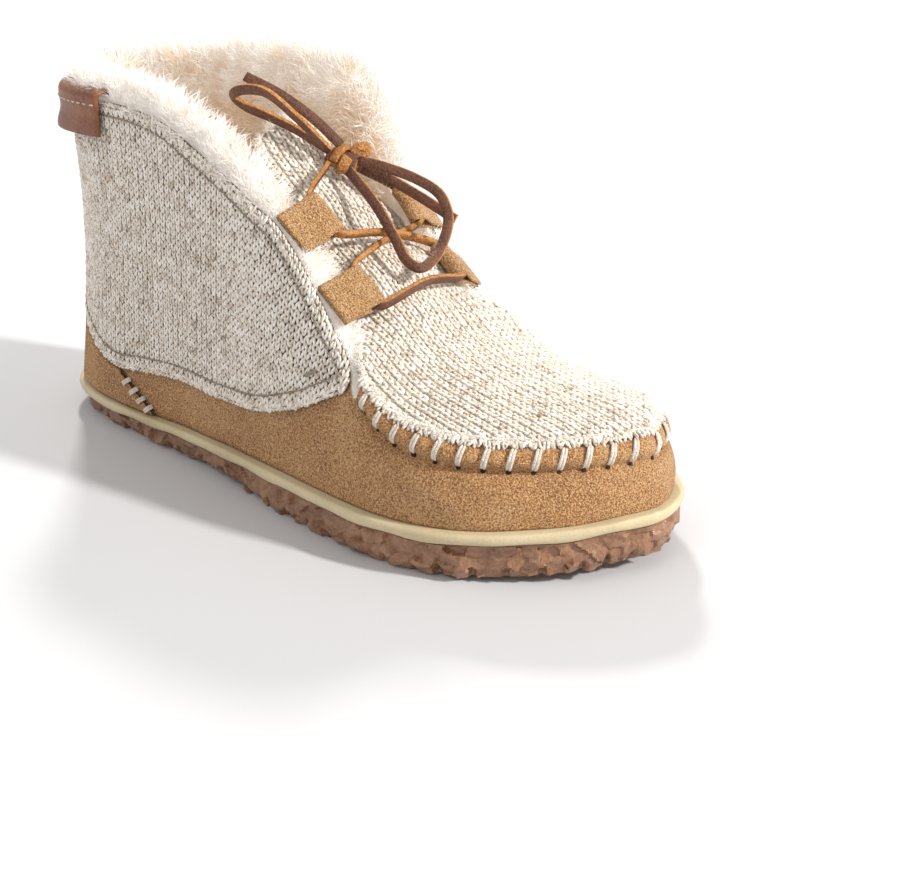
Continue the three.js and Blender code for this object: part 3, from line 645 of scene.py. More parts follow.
# Each finish: name, shades, patch, grain, crumb, roughness, bump.
SUEDE_TAN = mottled("tan_suede", "d09253 f8c98b 8a5421", 38.0, 1900.0, 1.0, 0.93, 1.0,
                    Sheen_Weight=0.15, Sheen_Roughness=0.6)
SUEDE_TAB = mottled("tab_suede", "d39a5c f5cb93 8e5c2c", 60.0, 1900.0, 1.0, 0.95, 1.0, Sheen_Weight=0.15)
LINING = mottled("fleece_lining", "e6d3b3 f5ead6 bf9a6c", 110.0, 700.0, 0.5, 1.0, 1.0, Sheen_Weight=0.3)
# The cloth under the loops: painted shade in the gaps between them, dark on the quarters and paler on the
# tongue.
KNIT_SHADE = mottled("knit_painted_gap_shade", "54483d 6c5e51 392f26", 160.0, 900.0, 0.6, 1.0, 0.9)
TONGUE_SHADE = mottled("tongue_painted_gap_shade", "c4b7a8 d4c8ba a39586", 160.0, 900.0, 0.6, 1.0, 0.9)
GUM = mottled("gum_rubber", "8d6549 b38a6c 5d3f2c", 85.0, 600.0, 0.25, 0.32, 0.25, Coat_Weight=0.2)
CREAM = mottled("cream_foam", "cbbb97 dacdb1 ae9b74", 45.0, 1200.0, 0.15, 0.55, 0.1)
GRAIN_SIDE = mottled("lace_grain_side", "633d2a 87583d 3c2314", 130.0, 1300.0, 0.45, 0.55, 0.45)
FLESH_SIDE = mottled("lace_flesh_side", "b97c40 d6a165 86552a", 130.0, 1300.0, 0.6, 0.88, 0.7)
CHESTNUT = mottled("chestnut_leather", "7e4a2d a06a48 502a16", 70.0, 1000.0, 0.3, 0.42, 0.25)
THREAD_PALE = mottled("cream_thread", "efe4d6 f8f1e8 c9b6a2", 300.0, 1800.0, 0.5, 0.85, 0.7)
THREAD_DARK = mottled("brown_thread", "9f8f7c b5a592 796857", 300.0, 1800.0, 0.4, 0.85, 0.6)
# Very dark marks: painted shade in the needle holes and along the heel counter's upper edge.
SHADE_MARK_FINISH = mottled("needle_hole", "38220f 452c18 1d1008", 200.0, 1500.0, 0.3, 1.0, 0.3)
YARN = yarn_finish()
WOOL = wool_finish()


# Camera, light and floor. The camera's place and aim are in millimetres.
CAMERA_AT = Vector((388.5, -363.8, 239.7))
CAMERA_AIM = Vector((1.0, 51.7, -8.5))
LENS = 65.7
SENSOR = 36.0
# Name, place in metres, size, power and tint of each lamp.
LAMPS = [
    ("key", (4.15, 1.5, 2.8), 0.4, 318.0, (1.0, 0.98, 0.95)),
    ("back", (-1.98, 1.69, 2.19), 0.34, 72.0, (1.0, 0.98, 0.95)),
    ("fill", (0.2, -1.5, 1.7), 1.4, 9.0, (1.0, 0.99, 0.98)),
]
LAMP_AIM = Vector((0, 0, 0.05))
SKY_TINT = (1.0, 0.985, 0.97, 1)
SKY_STRENGTH = 0.6
FLOOR_HALF = 4000
FLOOR_GREYS = ("cacacc", "cdcdcf")


def look(item, place, aim):
    """Puts a camera or a lamp at a place, looking at another."""
    item.location = place
    item.rotation_euler = (aim - Vector(place)).to_track_quat("-Z", "Y").to_euler()
    bpy.context.scene.collection.objects.link(item)


def camera():
    lens = bpy.data.cameras.new("camera")
    lens.lens = LENS
    lens.sensor_width = SENSOR
    lens.sensor_fit = "HORIZONTAL"
    lens.clip_start = 0.01
    item = bpy.data.objects.new("camera", lens)
    look(item, CAMERA_AT * MM, CAMERA_AIM * MM)
    bpy.context.scene.camera = item


def lamps():
    for name, place, size, power, tint in LAMPS:
        light = bpy.data.lights.new(name, "AREA")
        light.size = size
        light.energy = power
        light.color = tint
        look(bpy.data.objects.new(name, light), place, LAMP_AIM)
    world = bpy.data.worlds.new("studio")
    world.use_nodes = True
    sky = world.node_tree.nodes["Background"]
    sky.inputs[0].default_value = SKY_TINT
    sky.inputs[1].default_value = SKY_STRENGTH
    bpy.context.scene.world = world
    bpy.context.scene.view_settings.view_transform = "Standard"


def floor():
    paper, tree, shader = plain_finish("floor_paper", 0.9)
    place = add(tree, "ShaderNodeTexCoord").outputs["Object"]
    cloud = add(tree, "ShaderNodeTexNoise", {"Vector": place, "Scale": 6.0}).outputs[0]
    tint = blend(tree, cloud, *(colour(grey) for grey in FLOOR_GREYS))
    tree.links.new(tint, shader.inputs["Base Color"])
    corners = [[x * FLOOR_HALF, y * FLOOR_HALF, 0] for x, y in ((-1, -1), (1, -1), (1, 1), (-1, 1))]
    to_mesh("floor", corners, [[0, 1, 2, 3]], [paper], tidy=False)


camera()
lamps()
floor()


# Lace. Each tab: its root, the way it reaches, the way it is wide.
TABS = {
    "lace_tab_lateral_lower": ((29.8, -33.7, 73), (2, 16.5, 4), (-12, 0, 10)),
    "lace_tab_lateral_upper": ((11, -32.8, 92), (1.5, 16.5, 5), (-11, 0, 11)),
    "lace_tab_medial_lower": ((25.6, 32.2, 67.9), (2.8, -13.4, 7.7), (-12, 0, 8.5)),
    "lace_tab_medial_upper": ((9.5, 31.5, 85.5), (2, -15, 6.5), (-10, 0, 8.5)),
}
TAB_WIDTH = 15.0
TAB_SHEET = 2.6
TAB_REACH = 13.5
LACE_WIDE = 3.3
LACE_THICK = 1.6
KNOT = np.array([-1.5, 2.5, 108.2])
# Side that the grain face of each strip looks to.
LACE_FACING = {
    "lace_loop_1": (-0.17, -0.91, -0.14), "lace_loop_2": (0.4, -0.85, 0.2),
    "lace_end_1": (0.5, -0.65, 0.5), "lace_end_2": (0.4, -0.85, 0.15), "lace_crossings": (0.75, -0.45, -0.42),
}
LACE_PATHS = {
    "lace_loop_1": [(-5.2, .7, 110.7), (-14, -5, 117), (-23, -10, 121.4), (-31, -14, 124.6),
                    (-33, -16.5, 127.6), (-29, -17, 130.2), (-21, -13.5, 130.4), (-11, -8, 122),
                    (-3, -3, 113)],
    "lace_loop_2": [(4, 5, 108.4), (12, 8.5, 107), (22, 13, 104), (30.5, 15.5, 99.6), (35, 14.5, 93),
                    (37.2, 10, 87), (38.4, 4, 82.4), (37.6, -1.5, 80.4), (33.6, -3.4, 82.4),
                    (28, -2.6, 87.8), (17.5, -1.6, 97.8), (4, 0, 106)],
    "lace_end_1": [(-4.1, 4.4, 112.4), (-12, 0, 120.5), (-22, -5.5, 128), (-34, -10, 133)],
    "lace_end_2": [(3.6, 7.4, 106.4), (12, 12.5, 101.6), (23, 17, 96), (33, 20, 91)],
}
# The lace from the knot through the tabs in turn: the way through each tab, and the point after it.
LACE_START = (-2.4, -3.6, 107.4)
LACE_BRIDGES = [
    ("lace_tab_lateral_upper", -1, (21.3, 0, 88.6)), ("lace_tab_medial_lower", -1, (39.2, 0, 76.0)),
    ("lace_tab_lateral_lower", 1, (20, 0, 85.6)), ("lace_tab_medial_upper", 1, (-2, 8.4, 105.4)),
]
# The lace's points in a tab: share of its half width, how far past its reach.
TAB_PASS = ((-1.0, 0.0), (-0.75, 0.3), (0.75, 0.3), (1.0, 0.0))
# Lace tabs: distance off the root, a layer's thickness, half heights of loop and flat end, nose, curl.
TAB_LIFT = 0.4
TAB_LAYER = 1.2
TAB_BULGE = 2.1
TAB_FLAT = 0.62
TAB_NOSE = 2.6
TAB_CURL = 0.5
# The knot: way of its strands, way out, the wrap's turn, radii and pitch.
KNOT_STRANDS = (0.87, 0.42, -0.22)
KNOT_OUT = (0.62, -0.45, 0.64)
WRAP_TURN = (-0.7, 6.3)
WRAP_MIDDLE = 2.8
WRAP_OUT, WRAP_UP, WRAP_PITCH = 2.7, 4.1, 0.6
HEART_HALF = 5.4


def tab_frame(name):
    """Origin and the along, wide and out directions of a lace tab."""
    root, reach, across = (np.array(v, float) for v in TABS[name])
    along = unit(reach)
    wide = unit(across - along * across.dot(along))
    out = np.cross(along, wide)
    if out[0] < 0:
        out = -out
    return root + out * (TAB_SHEET / 2 + TAB_LIFT), along, wide, out


def centred_path(points, per_span=10):
    """A smooth path through points, spaced by the chords between them."""
    points = np.asarray(points, float)
    chord = np.linalg.norm(np.diff(points, axis=0), axis=1) ** 0.5
    knots = np.concatenate([[0], np.cumsum(chord)])
    ends = np.concatenate([[2 * points[0] - points[1]], points, [2 * points[-1] - points[-2]]])
    marks = np.concatenate([[-chord[0]], knots, [knots[-1] + chord[-1]]])

    def between(t, start, end, first, last):
        return (end - t) / (end - start) * first + (t - start) / (end - start) * last

    path = []
    for i in range(len(points) - 1):
        t = np.linspace(knots[i], knots[i + 1], per_span, endpoint=False)[:, None]
        t0, t1, t2, t3 = marks[i:i + 4]
        p0, p1, p2, p3 = ends[i:i + 4]
        before = between(t, t0, t1, p0, p1)
        here = between(t, t1, t2, p1, p2)
        after = between(t, t2, t3, p2, p3)
        path.append(between(t, t1, t2, between(t, t0, t2, before, here), between(t, t1, t3, here, after)))
    return np.concatenate(path + [points[-1:]])


SECTION = np.array([
    (-0.5, -0.38), (-0.44, -0.5), (0, -0.5), (0.44, -0.5), (0.5, -0.38),
    (0.5, 0.38), (0.44, 0.5), (0, 0.52), (-0.44, 0.5), (-0.5, 0.38),
])
GRAIN_FACES = (5, 6, 7, 8)


def thong(path, facing, wide=LACE_WIDE, thick=LACE_THICK):
    """Points, faces and finishes of a flat leather strip along a path; its grain side looks to facing."""
    way = unit(np.gradient(path, axis=0))
    facing = np.broadcast_to(np.asarray(facing, float), path.shape)
    across = np.cross(way, facing)
    for i in range(1, len(across)):
        if np.linalg.norm(across[i]) < 0.25 or across[i].dot(across[i - 1]) < 0:
            across[i] = across[i - 1] - way[i] * across[i - 1].dot(way[i])
    across = unit(across)
    out = unit(np.cross(across, way))
    count = len(SECTION)
    ring = (path[:, None] + across[:, None] * SECTION[None, :, :1] * wide
            + out[:, None] * SECTION[None, :, 1:] * thick)
    numbers = np.arange(len(path) * count).reshape(len(path), count)
    faces = grid_faces(numbers, closed=True)
    side = np.tile(np.isin(np.arange(count), GRAIN_FACES), len(path) - 1)
    faces = [list(f) for f in faces] + [list(numbers[0][::-1]), list(numbers[-1])]
    finish = np.concatenate([np.where(side, 0, 1), [1, 1]])
    return ring.reshape(-1, 3), faces, finish


def thong_piece(name, path, facing):
    points, faces, finish = thong(path, facing)
    return to_mesh(name, points, faces, [GRAIN_SIDE, FLESH_SIDE], face_finish=finish, tidy=False)


def lace_knot():
    """A strip wrapped round the strands, its flesh side out, over the small bulge they make."""
    strands = unit(np.array(KNOT_STRANDS))
    outwards = unit(np.array(KNOT_OUT))
    outwards = unit(outwards - strands * outwards.dot(strands))
    upwards = np.cross(outwards, strands)
    angle = np.linspace(*WRAP_TURN, 34)[:, None]
    wrap_path = (KNOT + outwards * WRAP_OUT * np.cos(angle) + upwards * WRAP_UP * np.sin(angle)
                 + strands * (angle - WRAP_MIDDLE) * WRAP_PITCH)
    wrap = thong(wrap_path, KNOT - wrap_path, wide=3.6, thick=1.5)
    heart_path = KNOT + np.linspace(-HEART_HALF, HEART_HALF, 11)[:, None] * strands
    heart = thong(heart_path, outwards, wide=5.6, thick=3.6)
    nub_path = centred_path(KNOT + np.array([
        upwards * 3.4 + strands * 2.0, upwards * 6.0 + strands * 3.6 + outwards * 0.8,
        upwards * 6.4 + strands * 6.0, upwards * 3.2 + strands * 6.2 - outwards * 0.4,
    ]))
    nub = thong(nub_path, -outwards, wide=3.0, thick=1.4)
    points, faces = joined([wrap[:2], heart[:2], nub[:2]])
    knot = to_mesh("lace_knot_wrap", points, faces, [GRAIN_SIDE, FLESH_SIDE],
                   face_finish=np.concatenate([wrap[2], heart[2], nub[2]]), tidy=False)
    return finish_piece(knot, "lace_leather", "lace_knot")


def lace():
    knot = lace_knot()
    for name, points in LACE_PATHS.items():
        path = centred_path(points)
        piece = thong_piece(name + "_strip", path, LACE_FACING[name])
        finish_piece(piece, "lace_leather", name)
    route = [LACE_START]
    for name, way, after in LACE_BRIDGES:
        origin, along, wide, _ = tab_frame(name)
        for share, reach in TAB_PASS:
            route.append(origin + along * (TAB_REACH + reach) + wide * way * share * TAB_WIDTH / 2)
        route.append(after)
    crossings = thong_piece("lace_crossings_strip", centred_path(route), LACE_FACING["lace_crossings"])
    finish_piece(crossings, "lace_leather", "lace_crossings")


lace()


def thinned_edge(across, start, room):
    """Thickness share over a strip's width, rounded off from a start to the edge."""
    return np.sqrt(np.clip(1 - np.maximum(np.abs(across) - start, 0) ** 2 / room, 0.1, 1))


def lace_tabs():
    """Suede strips folded flat round the lace and sewn under the quarter's front edge."""
    for name in TABS:
        origin, along, wide, out = tab_frame(name)
        arc = np.linspace(-np.pi / 2, np.pi / 2, 15)
        flat = np.linspace(0, TAB_REACH, 16)[:-1]
        swell = TAB_FLAT + (TAB_BULGE - TAB_FLAT) * smooth(5, 12.5, flat)
        run = np.concatenate([flat, TAB_REACH + TAB_NOSE * np.cos(arc), flat[::-1]])
        lift = np.concatenate([-swell, TAB_BULGE * np.sin(arc), swell[::-1]])
        path = np.stack([run, lift], -1)
        way = unit(np.gradient(path, axis=0))
        side = np.stack([way[:, 1], -way[:, 0]], -1)
        across = np.linspace(-1, 1, 25)
        thin = thinned_edge(across, 0.92, 0.0066)
        curl = TAB_CURL * across ** 2 * smooth(2, 14, run[:, None])
        sheets = []
        for face in (1, -1):
            section = path[:, None] + side[:, None] * (face * TAB_LAYER / 2 * thin)[None, :, None]
            sheets.append(origin + section[..., :1] * along + (section[..., 1:] - curl[..., None]) * out
                          + (across * TAB_WIDTH / 2)[None, :, None] * wide)
        if np.dot(np.cross(wide, along), out) > 0:
            sheets = [sheet[:, ::-1] for sheet in sheets]
        points, faces = slab(sheets[0], sheets[1])
        piece = to_mesh(name + "_fold", points, faces, [SUEDE_TAB])
        finish_piece(piece, "tan_suede", name)


lace_tabs()


# Sole: points round its rim, their places along the boot and distances round the rim.
RIM_FINE = 840
RIM_TURNS = np.linspace(0, LOOP, LOOP * 60 + 1)
RIM_LENGTH = run_along(np.stack(edge_at(RIM_TURNS, 0.0), -1))
RIM_TURN = np.interp(np.linspace(0, RIM_LENGTH[-1], RIM_FINE + 1)[:-1], RIM_LENGTH, RIM_TURNS)
RIM_X = edge_at(RIM_TURN, 0.0)[0]
RIM_ALONG = np.arange(RIM_FINE) * RIM_LENGTH[-1] / RIM_FINE
# The midsole band: height at the heel, how much more at the ball.
BAND_HIGH, BAND_MORE = 3.2, 0.6
# Waves of the band's lower line: height, count round the sole, shift.
BAND_WAVES = ((0.22, 26, 0.0), (0.2, 17, 1.3))


def joint_line():
    """Height of the wavy line between midsole and outsole at the points of the rim."""
    turn = 2 * np.pi * np.arange(RIM_FINE) / RIM_FINE
    waves = sum(high * np.sin(count * turn + shift) for high, count, shift in BAND_WAVES)
    return sole_top(RIM_X) - BAND_HIGH - BAND_MORE * fore_share(RIM_X) + waves


JOINT = joint_line()


def ring_at(inset, height):
    """A ring round the sole at an inset from its edge, with a height for each point."""
    return np.stack([*edge_at(RIM_TURN, inset), height], -1)


def rings_mesh(rings):
    """Closed stack of rings, lowest first, shut below and above by strips across."""
    stack = np.stack(rings)
    numbers = np.arange(stack.shape[0] * RIM_FINE).reshape(stack.shape[0], RIM_FINE)
    faces = [list(f) for f in grid_faces(numbers, closed=True)]
    half = RIM_FINE // 2
    for row, flip in ((numbers[0], True), (numbers[-1], False)):
        for i in range(half):
            quad = [row[i], row[i + 1], row[(RIM_FINE - i - 1) % RIM_FINE], row[(RIM_FINE - i) % RIM_FINE]]
            faces.append(quad[::-1] if flip else quad)
    return stack.reshape(-1, 3), faces


# Chiselled facets of the side: pitch along and up, stray of their middles, slope, level and depth.
CHIP_SEED = 23
CHIP_PITCH = (7.0, 4.2)
CHIP_ROWS = range(-1, 7)
CHIP_STRAY, CHIP_STRAY_SHARES = 2.6, (1, 0.6)
CHIP_SLOPE = 0.42
CHIP_LEVELS = (0.2, 1.9)
CHIP_DEEP = 1.8
CHIP_UP_WEIGHT = 1.3
# Slots between the lugs: count, height, depth inwards and half width.
LUG_SEED = 31
LUGS = 56
SLOT_HIGH = 2.2
SLOT_DEEP = 2.2
SLOT_HALF = 0.5
# Tread bars: x and y of their middles, then the size of each.
TREAD_BARS = [(x, -3.3) for x in (-100, -87, -74)] + [(x, -1.0) for x in (18, 31, 44, 57)]
BAR_WIDE, BAR_SPAN, BAR_HIGH, BAR_EASE = 6.5, 46, 4.2, 0.7
# The outsole's side: rings, tuck at the heel, how much less further on, ease of its foot, gap to the band.
SIDE_RINGS = 19
HEEL_TUCK, TUCK_LESS = 2.0, 1.4
FOOT_EASE = 1.6
BAND_GAP = 0.15
# Insole rings: inset from the sole's edge, height over the sole.
INSOLE_RINGS = ((6.7, 0.3), (6.7, 2.4), (7.4, 3.1), (9, 3.3), (14, 3.2), (20, 3.0))
INSOLE_LUMP = 0.25


def rim_gap(along, places):
    """Distance round the rim from each point to each place."""
    gap = np.abs(along[:, None] - places[None, :])
    return np.minimum(gap, RIM_LENGTH[-1] - gap)


def chips(along, up):
    """Depth of chiselled facets: every point takes the slope of its nearest chip."""
    dice = np.random.default_rng(CHIP_SEED)
    count = int(RIM_LENGTH[-1] / CHIP_PITCH[0])
    seeds = np.array([((i + 0.5 * (row % 2)) * CHIP_PITCH[0], row * CHIP_PITCH[1])
                      for row in CHIP_ROWS for i in range(count)])
    seeds = seeds + dice.uniform(-CHIP_STRAY, CHIP_STRAY, seeds.shape) * CHIP_STRAY_SHARES
    slopes = dice.uniform(-CHIP_SLOPE, CHIP_SLOPE, seeds.shape)
    levels = dice.uniform(*CHIP_LEVELS, len(seeds))
    rise = (up[:, None] - seeds[None, :, 1]) * CHIP_UP_WEIGHT
    near = np.argmin(rim_gap(along, seeds[:, 0]) ** 2 + rise ** 2, axis=1)
    offset = np.stack([along - seeds[near, 0], up - seeds[near, 1]], -1)
    return np.clip(levels[near] + (offset * slopes[near]).sum(1), 0, CHIP_DEEP)


def lug_slots():
    """Share of the slot at each point of the rim: narrow, unevenly spaced, some of them shallow."""
    dice = np.random.default_rng(LUG_SEED)
    slots = (np.arange(LUGS) + dice.uniform(0.25, 0.75, LUGS)) * (RIM_LENGTH[-1] / LUGS)
    depth = dice.uniform(0.35, 1.0, LUGS)
    return (smooth(SLOT_HALF + 1.1, SLOT_HALF - 0.3, rim_gap(RIM_ALONG, slots)) * depth).max(1)


def rounded_bar(x, y):
    """A tread bar with its lower edges eased."""
    rings = []
    for inset, z in ((BAR_EASE, 0.0), (0, BAR_EASE), (0, BAR_HIGH)):
        a, b = BAR_WIDE / 2 - inset, BAR_SPAN / 2 - inset
        rings.append([(x - a, y - b, z), (x + a, y - b, z), (x + a, y + b, z), (x - a, y + b, z)])
    numbers = np.arange(12).reshape(3, 4)
    faces = [list(f) for f in grid_faces(numbers, closed=True)] + [[3, 2, 1, 0], [8, 9, 10, 11]]
    return np.array(rings).reshape(-1, 3), faces


def outsole():
    """Rubber sole: chiselled side, slots between the lugs at its foot, bars under the heel and the ball."""
    slot = lug_slots()
    ground = sole_floor(RIM_X)
    tuck = HEEL_TUCK - TUCK_LESS * smooth(-110, -60, RIM_X)
    nibble = 0.45 * chips(RIM_ALONG + 40, np.full(RIM_FINE, 3.0))
    foot_line = ground + SLOT_HIGH * slot + nibble
    rings = [ring_at(9.0, ground + 2.4), ring_at(tuck + 3.4 + slot, ground + 0.4 * slot)]
    for level in np.linspace(0, 1, SIDE_RINGS):
        height = foot_line + (JOINT - BAND_GAP - foot_line) * level
        cut = SLOT_DEEP * slot * smooth(4.4, 2.4, height - ground)
        foot = FOOT_EASE * (1 - smooth(0, 0.3, level))
        facets = chips(RIM_ALONG, height) * (0.2 + 0.8 * smooth(1.0, 0.88, level))
        rings.append(ring_at(0.2 + (tuck - 0.4) * (1 - level) + foot + cut + facets, height))
    rings.append(ring_at(3.0, JOINT - 0.1))
    points, faces = joined([rings_mesh(rings)] + [rounded_bar(x, y) for x, y in TREAD_BARS])
    rubber = to_mesh("outsole_rubber", points, faces, [GUM], shade=False)
    finish_piece(rubber, "gum_rubber", "outsole")


def midsole():
    """Cream band with a bulging edge."""
    low, high = JOINT + 0.12, sole_top(RIM_X)
    rings = [ring_at(3.5, low), ring_at(0.5, low)]
    for angle in np.radians(np.linspace(-62, 84, 11)):
        height = (low + high) / 2 + (high - low) / 2 * math.sin(angle)
        rings.append(ring_at(0.45 - 1.15 * math.cos(angle), height))
    rings += [ring_at(1.0, high), ring_at(4.5, high)]
    points, faces = rings_mesh(rings)
    band = to_mesh("midsole_band", points, faces, [CREAM])
    finish_piece(band, "cream_foam", "midsole")


def insole():
    """Fleece insole with a lumpy face."""
    rings = []
    for inset, rise in INSOLE_RINGS:
        lump = INSOLE_LUMP * np.sin(RIM_ALONG * 0.9 + inset) * np.sin(RIM_ALONG * 0.37 + 2 * inset)
        rings.append(ring_at(inset, sole_top(RIM_X) + rise + lump * (rise > 3)))
    points, faces = rings_mesh(rings)
    fleece = to_mesh("insole_fleece", points, faces, [LINING])
    finish_piece(fleece, "wool_pile", "insole")


outsole()
midsole()
insole()


# Suede body: pitch and start of the toe seam's stitches, and its run from one side round to the other.
SEAM_PITCH = 7.4
SEAM_START = 3.0
SEAM_FROM = 10.15
SEAM_TURNS = np.linspace(SEAM_FROM, LOOP - SEAM_FROM, 900)
SEAM_LENGTH = run_along(form_point(SEAM_TURNS, 1.0))
# The seam's roll and the groove under it, up from the shoulder line, and the share that a stitch pulls in.
ROLL_HIGH, ROLL_MIDDLE, ROLL_HALF = 2.6, -2.4, 3.2
GROOVE_DEEP, GROOVE_AT, GROOVE_HALF = 2.0, -6.4, 1.4
STITCH_PULL = 0.35
# The suede's grid: columns to a row of the last, rows up the wall and over the toe, where the open top ends.
BODY_FINE = 12
WALL_ROWS, OVER_ROWS = 60, 26
OPEN_ROWS = 10.13
RIM_DROP = 2.0
OVER_RUN = 42
# Soft creases of the walls: distance from the back seam, height, half length, half width, tilt, depth.
CREASES = {
    "lateral": [(172, 27, 16, 3.2, 0.5, 0.55), (184, 33, 14, 2.8, 0.7, 0.5), (150, 22, 14, 3.0, 0.15, 0.35)],
    "medial": [(168, 27, 16, 3.2, 0.5, 0.5), (181, 32, 14, 3.0, 0.7, 0.5)],
}


def crease_depth(side, distance, height):
    """Soft troughs with a low ridge beside each."""
    depth = np.zeros(np.broadcast(distance, height).shape)
    for middle, level, half, wide, tilt, deep in CREASES[side]:
        u = (distance - middle) * math.cos(tilt) + (height - level) * math.sin(tilt)
        v = (height - level) * math.cos(tilt) - (distance - middle) * math.sin(tilt)
        along = np.exp(-(u / half) ** 2)
        depth += deep * along * (np.exp(-(v / wide) ** 2) - 0.6 * np.exp(-((v - 2.1 * wide) / wide) ** 2))
    return depth


def suede_shares():
    """The suede's grid: loop rows, shares up the wall and over the toe, columns that end at the collar."""
    turns = np.arange(LOOP * BODY_FINE) / BODY_FINE
    medial = turns > LAST_STEP
    open_top = np.where(medial, LOOP - turns, turns) < OPEN_ROWS
    x = edge_at(turns, UPPER_SET + 2)[0]
    low, shoulder = base_height(turns), last_value(turns, "shoulder")
    collar = np.where(medial, line_height("medial", x), line_height("lateral", x)) - RIM_DROP
    top = np.where(open_top, np.clip((collar - low) / (shoulder - low), 0, 1), 1.0)
    walls = np.linspace(0, 1, WALL_ROWS)[:, None] ** 0.92 * top
    overs = np.linspace(0, 1, OVER_ROWS)[1:, None] ** 1.6 * np.where(open_top, 0.0, 1.0)
    wall = np.concatenate([walls, np.broadcast_to(top, overs.shape)])
    over = np.concatenate([np.zeros_like(walls), overs])
    return np.broadcast_to(turns, wall.shape), wall, over, open_top


def suede_normal(turns, wall, over):
    """Outward normals of the plain form, measured over small steps."""
    up, inwards = SHARE_STEP * (over == 0), SHARE_STEP * (over > 0)
    round_way = form_point(turns + TURN_STEP, wall, over) - form_point(turns - TURN_STEP, wall, over)
    later = form_point(turns, wall + up, np.minimum(over + inwards, 1))
    sooner = form_point(turns, wall - up, over - inwards)
    return unit(np.cross(round_way, later - sooner))


def suede_relief(turns, wall, over, height):
    """How far the suede stands out from the plain form: the roll and its groove, creases, soft waves."""
    low, shoulder = base_height(turns[0]), last_value(turns[0], "shoulder")
    run = (wall - 1) * (shoulder - low) + over * OVER_RUN
    seam = np.clip(3 * last_value(turns, "seam"), 0, 1)
    distance = np.interp(turns, SEAM_TURNS, SEAM_LENGTH)
    pinch = 0.5 + 0.5 * np.cos(2 * np.pi * (distance - SEAM_START) / SEAM_PITCH)
    roll = ROLL_HIGH * np.sqrt(np.clip(1 - ((run - ROLL_MIDDLE) / ROLL_HALF) ** 2, 0, 1))
    groove = GROOVE_DEEP * np.exp(-((run - GROOVE_AT) / GROOVE_HALF) ** 2)
    sewn = roll * (1 - STITCH_PULL * pinch) - groove * (1 - STITCH_PULL + STITCH_PULL * pinch)
    girth = np.interp(turns, TURN, GIRTH)
    lateral = crease_depth("lateral", girth, height)
    medial = crease_depth("medial", GIRTH[-1] - girth, height)
    troughs = np.where(turns > LAST_STEP, medial, lateral) * (over == 0)
    waves = 0.18 * np.sin(girth * 0.21 + 0.08 * height) * np.sin(height * 0.33 + 1.0) * (over == 0)
    return seam * sewn - troughs + waves


def suede_body():
    """The moccasin body as a hollow wall, suede outside and lined inside."""
    turns, wall, over, open_top = suede_shares()
    flat = form_point(turns, wall, over)
    normal = suede_normal(turns, wall, over)
    outer = flat + normal * suede_relief(turns, wall, over, flat[..., 2])[..., None]
    inner = flat - normal * WALL
    face = np.arange(wall.size).reshape(wall.shape)
    back = face + wall.size
    faces = [grid_faces(face, True), grid_faces(back, True)[:, ::-1]]
    faces.append(grid_faces(np.stack([back[0], face[0]]), True))
    faces.append(grid_faces(np.stack([face[-1], back[-1]]), True)[open_top])
    finish = np.concatenate([np.full(len(f), k) for f, k in zip(faces, (0, 1, 0, 1))])
    points = np.concatenate([outer.reshape(-1, 3), inner.reshape(-1, 3)])
    body = to_mesh("upper_suede", points, np.concatenate(faces), [SUEDE_TAN, LINING], face_finish=finish)
    finish_piece(body, "tan_suede", "upper")


suede_body()


# Panels on the walls: the longest reach from the back seam, half width of a sunk stitch line.
PANEL_LONGEST = 260
SINK_HALF = 0.9


def eased(gap, ease):
    """Share of a piece's thickness at a gap from its edge, rounded off over the ease."""
    return np.sqrt(np.clip(1 - (1 - np.clip(gap / ease, 0, 1)) ** 2, 0, 1))


